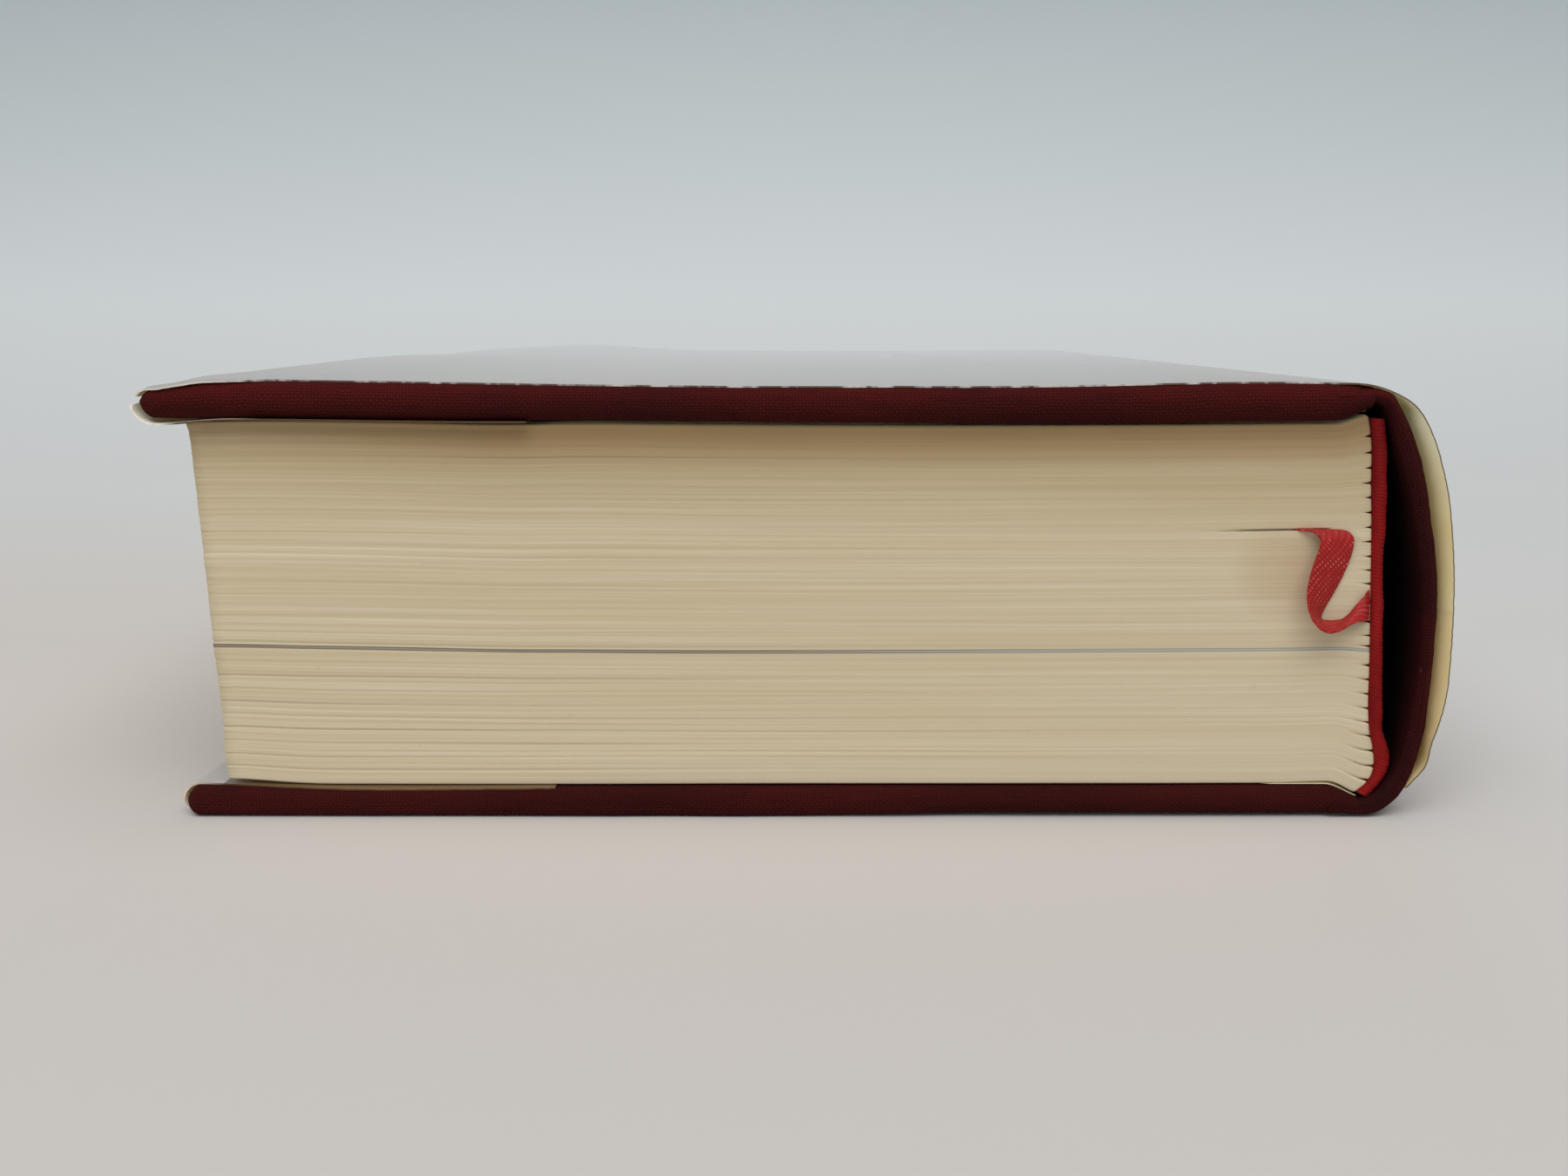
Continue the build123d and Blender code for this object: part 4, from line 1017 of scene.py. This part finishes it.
# ------------------------------------------------------------------ endpapers
def endpapers():
    made = []
    ny = 60
    for side in ("front", "rear"):
        # free leaf, lying on the leaves
        if side == "front":
            xs = np.concatenate([np.linspace(-72.0, 56, 60), np.linspace(56, 66.3, 18)[1:]])
            z = first_leaf(xs) + 1.25 * smooth(62.8, 67.2, xs) + 0.10
            ys = np.linspace(PAGE_HEAD + 3.0, PAGE_TAIL + 0.1, ny)
        else:
            xs = np.concatenate([np.linspace(-69.6, 56, 60), np.linspace(56, 67.8, 24)[1:]])
            # it follows the board into the joint sooner than the leaves do, which leaves a thin gap
            z = rear_inside(xs) + 0.23 + 0.1 * smooth(-27.0, -31.0, xs) - joint_slope(xs, 63.9)
            ys = np.linspace(PAGE_HEAD - 0.1, PAGE_TAIL + 0.1, ny)
        P = np.zeros((len(xs), ny, 3))
        P[..., 0] = xs[:, None]
        P[..., 1] = ys[None, :]
        P[..., 2] = z[:, None]
        if side == "rear":
            P[:, 0, 1] += 3.2 * smooth(58.0, 50.0, xs)
        o = sheet(f"flyleaf_{side}", P, 0.09, [ENDPAPER] * 3, xs / 100.0, ys / 100.0)
        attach(o, "book_block")
        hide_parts(f"{side}_flyleaf")
        made.append(o)

        # glued leaf on the inside of the board, with the ridge of the turned-in cloth under it
        if side == "front":
            xs = np.concatenate([np.linspace(-73.3, -58, 26), np.linspace(-58, 60.5, 50)[1:], np.linspace(60.5, 66.1, 16)[1:]])
            z = front_inside(xs) - 0.11 + joint_slope(xs, 62.6)
        else:
            xs = np.concatenate([np.linspace(-71.2, -56, 26), np.linspace(-56, 60.5, 50)[1:], np.linspace(60.5, 67.4, 18)[1:]])
            z = rear_inside(xs) + 0.11 - joint_slope(xs, 64.1)
        ys = np.concatenate([np.linspace(-104.6, -90, 24), np.linspace(-90, 90, 40)[1:], np.linspace(90, 105.8, 24)[1:]])
        P = np.zeros((len(xs), len(ys), 3))
        P[..., 0] = xs[:, None]
        P[..., 1] = ys[None, :]
        ridge_x = -61.5 if side == "front" else -59.4
        inside = smooth(ridge_x - 0.4, ridge_x + 0.4, P[..., 0]) * smooth(94.4, 93.6, np.abs(P[..., 1]))
        P[..., 2] = z[:, None] + (0.08 if side == "front" else -0.08) * inside
        if side == "front":
            P[..., 2] += cover_warp(P[..., 0], P[..., 1])
            P = P[::-1]
        o = sheet(f"pastedown_{side}", P, 0.12, [ENDPAPER] * 3, P[:, 0, 0] / 100.0, ys / 100.0)
        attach(o, "front_cover" if side == "front" else "back_cover")
        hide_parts(f"{side}_pastedown")
        made.append(o)

        # the fold between the two, which opens with the cover
        if side == "front":
            line = curve([(66.2, 48.55), (66.75, 48.6), (66.95, 48.72), (66.7, 48.84), (66.0, 48.8)], 22)
        else:
            line = curve([(67.7, 2.33), (68.05, 2.24), (68.15, 2.16), (67.95, 2.14), (67.3, 2.42)], 22)
        ys = np.linspace(-105.0, PAGE_TAIL + 0.1, 40)
        P = np.zeros((len(line), len(ys), 3))
        P[..., 0], P[..., 1], P[..., 2] = line[:, 0][:, None], ys[None, :], line[:, 1][:, None]
        if side == "front":
            P = P[::-1]
        o = sheet(f"endpaper_fold_{side}", P, 0.1, [ENDPAPER] * 3, lengths(line) / 100.0, ys / 100.0, sharp=70)
        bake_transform(o)
        made.append(o)
    return made


# ------------------------------------------------------------------ bands
def band(name, sign, node):
    """A sewn bead on a tape along the spine of the leaves. sign is -1 at the head and 1 at the tail."""
    left = [(66.74, 47.96), (67.04, 45.9), (67.42, 39.8), (67.62, 35.7), (67.8, 31.5), (68.1, 25.3), (68.42, 18.9), (68.66, 12.5), (68.95, 10.3),
            (69.5, 8.15), (69.71, 6.5), (69.5, 4.9), (68.83, 3.8), (67.73, 2.8)]
    right = [(68.4, 47.88), (68.76, 45.9), (69.2, 39.8), (69.33, 35.7), (69.36, 31.5), (69.72, 25.3), (70.05, 18.9), (70.4, 12.5), (70.45, 10.9),
             (71.1, 8.9), (71.58, 7.2), (71.5, 5.6), (70.5, 3.7), (69.25, 2.15)]
    shift = 1.4 if sign < 0 else 0.0
    if sign > 0:  # the tail band is straighter
        left = [(67.05, 47.4), (67.6, 41.0), (68.1, 33.0), (68.6, 24.0), (69.1, 14.0), (69.75, 8.0), (69.8, 5.0), (69.4, 3.2)]
        right = [(x + 1.75, z) for x, z in left]
    n = 150
    L, R = curve(left, n), curve(right, n)
    # outline of the section: tape behind, rolled bead in front; first value across the band, second from head to tail
    ring = [(0.0, 92.0), (0.22, 92.0), (0.24, 100.0), (0.28, 103.6), (0.55, 104.3), (0.86, 104.5), (0.99, 105.0), (0.98, 105.7),
            (0.86, 106.15), (0.62, 106.4), (0.38, 106.4), (0.16, 106.2), (0.04, 105.8), (0.0, 105.2), (0.0, 104.0), (0.0, 98.0)]
    ring = np.array(ring)
    ring[:, 1] += np.where(ring[:, 1] > 101, shift, 0)
    m = len(ring)
    grid = np.zeros((n, m, 3))
    i = np.arange(n)
    soft = 0.05 * value_noise(130 + sign, 1, 22, n)[0]
    thread = 0.025 * np.sin(i * 2 * math.pi / 3.1)
    for j, (a, y) in enumerate(ring):
        c = L * (1 - a) + R * a
        grid[:, j, 0] = c[:, 0] + (soft + thread if 0.1 < a else 0)
        grid[:, j, 2] = c[:, 1]
        grid[:, j, 1] = sign * (y + (soft * 1.4 + thread if y > 104 else 0))
    b = Build()
    s0 = b.add(grid)
    ids = np.arange(n * m).reshape(n, m) + s0
    ids = np.concatenate([ids, ids[:, :1]], axis=1)
    around = np.concatenate([[0], np.cumsum(np.hypot(np.diff(np.append(ring[:, 0], ring[0, 0])) * 1.75, np.diff(np.append(ring[:, 1], ring[0, 1]))))])
    b.quads(ids, grid_uv(lengths(L) / 100.0, around / 100.0), 0, flip=sign < 0)
    for row, flip in ((0, sign > 0), (n - 1, sign < 0)):
        loop = ids[row, :-1]
        half = m // 2
        one, two = loop[:half], loop[::-1][:half]
        b.quads(np.stack([one, two], axis=0), grid_uv([0.0, 0.01], np.arange(half) / 300.0), 0, flip=flip)
    o = b.object(name, [BAND], sharp=75)
    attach(o, "book_block")
    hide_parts(node)
    return o


# ------------------------------------------------------------------ ribbon marker
def ribbon():
    edges = [
        ((61.0, -62.0, 34.80), (65.8, -62.0, 34.60)),
        ((58.9, -96.0, 34.85), (64.7, -96.0, 34.65)),
        ((58.3, -104.7, 34.94), (64.4, -104.7, 34.78)),
        ((58.9, -107.08, 34.96), (63.9, -106.9, 34.9)),
        ((60.7, -108.04, 34.82), (64.95, -107.5, 34.66)),
        ((61.42, -108.76, 33.81), (65.55, -107.72, 33.9)),
        ((61.1, -109.08, 32.61), (65.5, -107.56, 32.4)),
        ((60.57, -109.24, 31.18), (65.07, -107.4, 30.68)),
        ((60.11, -109.4, 29.56), (64.44, -107.32, 29.0)),
        ((59.82, -109.64, 27.94), (63.81, -107.32, 27.64)),
        ((59.81, -109.88, 26.74), (63.15, -107.32, 26.38)),
        ((59.98, -110.12, 25.75), (62.57, -107.32, 25.24)),
        ((60.37, -110.36, 24.65), (62.28, -107.4, 24.4)),
        ((61.22, -110.44, 23.62), (62.4, -107.4, 24.09)),
        ((62.29, -110.36, 23.09), (63.55, -107.4, 23.98)),
        ((63.46, -110.2, 23.32), (64.7, -107.32, 24.13)),
        ((64.68, -109.8, 23.87), (65.56, -107.4, 24.84)),
        ((66.07, -109.0, 24.09), (66.32, -107.64, 26.1)),
        ((67.24, -108.28, 24.06), (67.29, -107.72, 27.1)),
        ((67.96, -107.4, 24.15), (67.84, -107.24, 27.5)),
        ((68.45, -106.3, 24.22), (68.3, -106.3, 27.9)),
        ((68.45, -100.7, 24.31), (68.25, -100.7, 28.3)),
    ]
    n, m = 210, 11

    # keep the two edges in step along the ribbon
    def even(points):
        key = np.array(points, float)
        t = np.linspace(0, len(key) - 1, n)
        dense = []
        for c in range(3):
            dense.append(np.interp(t, np.arange(len(key)), key[:, c]))
        out = np.stack(dense, axis=1)
        for _ in range(6):
            out[1:-1] = 0.25 * out[:-2] + 0.5 * out[1:-1] + 0.25 * out[2:]
        return out

    L, Rr = even([e[0] for e in edges]), even([e[1] for e in edges])
    k = np.linspace(0, 1, m)
    P = L[:, None, :] * (1 - k)[None, :, None] + Rr[:, None, :] * k[None, :, None]
    # lengths along the middle line of the ribbon give its UV
    mid = (L + Rr) / 2
    s = lengths(mid)
    o = sheet("ribbon", P, 0.24, [RIBBON] * 3, s / 100.0, k * 0.047, sharp=70)
    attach(o, "book_block")
    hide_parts("ribbon_marker")
    return o


pages = build_pages()
front_faces = (lambda x: FRONT_OUT, front_inside, lambda x: 2.2, 62.6, -1, True, "front_cover")
rear_faces = (lambda x: REAR_OUT - 0.17 * smooth(28, -12, x), rear_inside, lambda x: 2.0 + 1.6 * smooth(28, -12, x), 64.1, 1, False, "back_cover")
rounded_board("case_front", -77.1, 66.5, *front_faces, "front_cloth")
rounded_board("case_rear", -74.45, 67.6, *rear_faces, "rear_cloth", bend=((0.0726, 0, 0.001), (0.0660, 0, 0.001)))
rounded_board("core_front", -77.1, 65.2, *front_faces, "front_board", core=0.45)
rounded_board("core_rear", -74.45, 65.6, *rear_faces, "rear_board", core=0.45)
spine_front = build_spine_cloth(
    "case_spine_front",
    [(62.0, 51.0), (64.5, 51.3), (66.2, 51.5), (67.75, 51.22), (68.8, 50.72), (69.9, 49.05), (71.05, 47.0), (72.3, 43.9), (73.6, 39.2), (74.3, 35.6), (75.05, 31.6), (75.5, 27.6), (75.6, 25.0)],
    [(62.0, 50.0), (64.5, 49.95), (66.2, 49.9), (67.3, 49.75), (68.0, 49.3), (68.55, 48.2), (69.2, 46.3), (70.25, 43.0), (71.55, 38.8), (72.3, 35.4), (73.1, 31.4), (73.6, 27.5), (73.75, 25.0)],
)
spine_rear = build_spine_cloth(
    "case_spine_rear",
    [(75.6, 25.0), (75.55, 20.2), (75.4, 15.2), (75.07, 10.6), (74.5, 7.8), (73.85, 5.2), (73.0, 3.35), (71.6, 1.6), (70.2, 0.6), (69.0, 0.25), (67.0, 0.3), (64.0, 0.6)],
    [(73.75, 25.0), (73.9, 19.9), (73.6, 15.0), (73.05, 10.8), (72.55, 7.8), (71.75, 5.4), (70.6, 3.7), (69.6, 2.72), (68.7, 2.25), (67.8, 2.05), (66.6, 1.9), (64.0, 1.8)],
)
front_jacket()
rear_jacket()
endpapers()
band("band_head", -1, "headband")
band("band_tail", 1, "tailband")
ribbon()

# solids that stay as they are, with finished materials
for node, mat in (("spine_inlay", BOARD), ("spine_lining", LINING)):
    o = bpy.data.objects[node]
    o.data.materials.clear()
    o.data.materials.append(mat)


# ------------------------------------------------------------------ floor, light, camera
def stage():
    foot, bend = 0.24, 0.85
    prof = [(-1.6, 0.0), (-0.6, 0.0), (foot, 0.0)]
    for a in np.linspace(0, math.pi / 2, 20)[1:]:
        prof.append((foot + bend * math.sin(a), bend * (1 - math.cos(a))))
    prof.append((foot + bend, 2.6))
    xs = np.linspace(-3.0, 3.0, 13)
    v = [(x, y, z - 0.00002 + 0.0021 * (x - 0.072)) for y, z in prof for x in xs]
    n = len(xs)
    f = [(i * n + j, i * n + j + 1, (i + 1) * n + j + 1, (i + 1) * n + j) for i in range(len(prof) - 1) for j in range(n - 1)]
    me = bpy.data.meshes.new("studio_sweep")
    me.from_pydata(v, [], f)
    me.polygons.foreach_set("use_smooth", np.ones(len(f), bool))
    m = Nodes("studio_paper")
    p = m.place((1, 1, 1))
    x, y, z = m.split(p)
    # painted light: the floor is paler to the left and right of the book, lifting the shade the book casts there
    near = m.mix(m.remap(x, -0.075, -0.12), rgb(204, 199, 195), rgb(211, 205, 200))
    near = m.mix(m.remap(x, 0.06, 0.13), near, rgb(213, 212, 210))
    c = m.mix(m.remap(y, 0.0, 0.26), near, rgb(226, 227, 226))
    # painted light on the sweep: brighter along its bend, and darker and bluer up the wall where the light falls off
    c = m.mix(m.remap(z, 0.0, 0.08), c, rgb(232, 237, 238))
    c = m.mix(m.remap(z, 0.07, 0.30), c, rgb(196, 207, 210))
    c = m.mix(m.remap(m.noise(p, 3.0, 2.0), 0.3, 0.7, 0.0, 0.04), c, rgb(196, 194, 192))
    m.finish(c, 0.9, 0.1)
    me.materials.append(m.mat)
    o = bpy.data.objects.new("studio_sweep", me)
    scene.collection.objects.link(o)


def area(name, at, to, size, power, colour):
    d = bpy.data.lights.new(name, "AREA")
    d.shape = "RECTANGLE"
    d.size, d.size_y = size
    d.energy = power
    d.color = colour
    o = bpy.data.objects.new(name, d)
    o.location = at
    o.rotation_euler = (Vector(to) - Vector(at)).to_track_quat("-Z", "Y").to_euler()
    scene.collection.objects.link(o)


stage()
world = bpy.data.worlds.new("studio")
scene.world = world
world.use_nodes = True
bg = next(n for n in world.node_tree.nodes if n.type == "BACKGROUND")
bg.inputs[0].default_value = (0.92, 0.955, 1.0, 1)
bg.inputs[1].default_value = 0.25
area("overhead", (0.05, -0.35, 1.25), (0.0, -0.05, 0.0), (2.3, 1.3), 7.5, (1.0, 0.99, 0.98))
area("key", (0.0, -1.0, 1.15), (0.0, -0.02, 0.0), (1.5, 0.9), 12.6, (1.0, 0.99, 0.975))
area("front_fill", (-0.9, -1.0, 0.15), (0.0, 0.0, 0.03), (1.0, 0.3), 3.0, (1.0, 0.98, 0.95))

scene.view_settings.view_transform = "Standard"
scene.view_settings.look = "None"
scene.view_settings.exposure = 0.0
scene.view_settings.gamma = 1.0

cam = bpy.data.cameras.new("camera")
cam.sensor_fit = "HORIZONTAL"
cam.sensor_width = 36.0
cam.lens = 36.0
cam.clip_start, cam.clip_end = 0.01, 50.0
eye = bpy.data.objects.new("camera", cam)
pitch, yaw = math.radians(9.617), math.radians(0.47)
forward = Vector((-math.sin(yaw) * math.cos(pitch), math.cos(yaw) * math.cos(pitch), -math.sin(pitch)))
eye.location = (-0.0002, -0.2914, 0.05897)
eye.rotation_euler = forward.to_track_quat("-Z", "Y").to_euler()
scene.collection.objects.link(eye)
scene.camera = eye
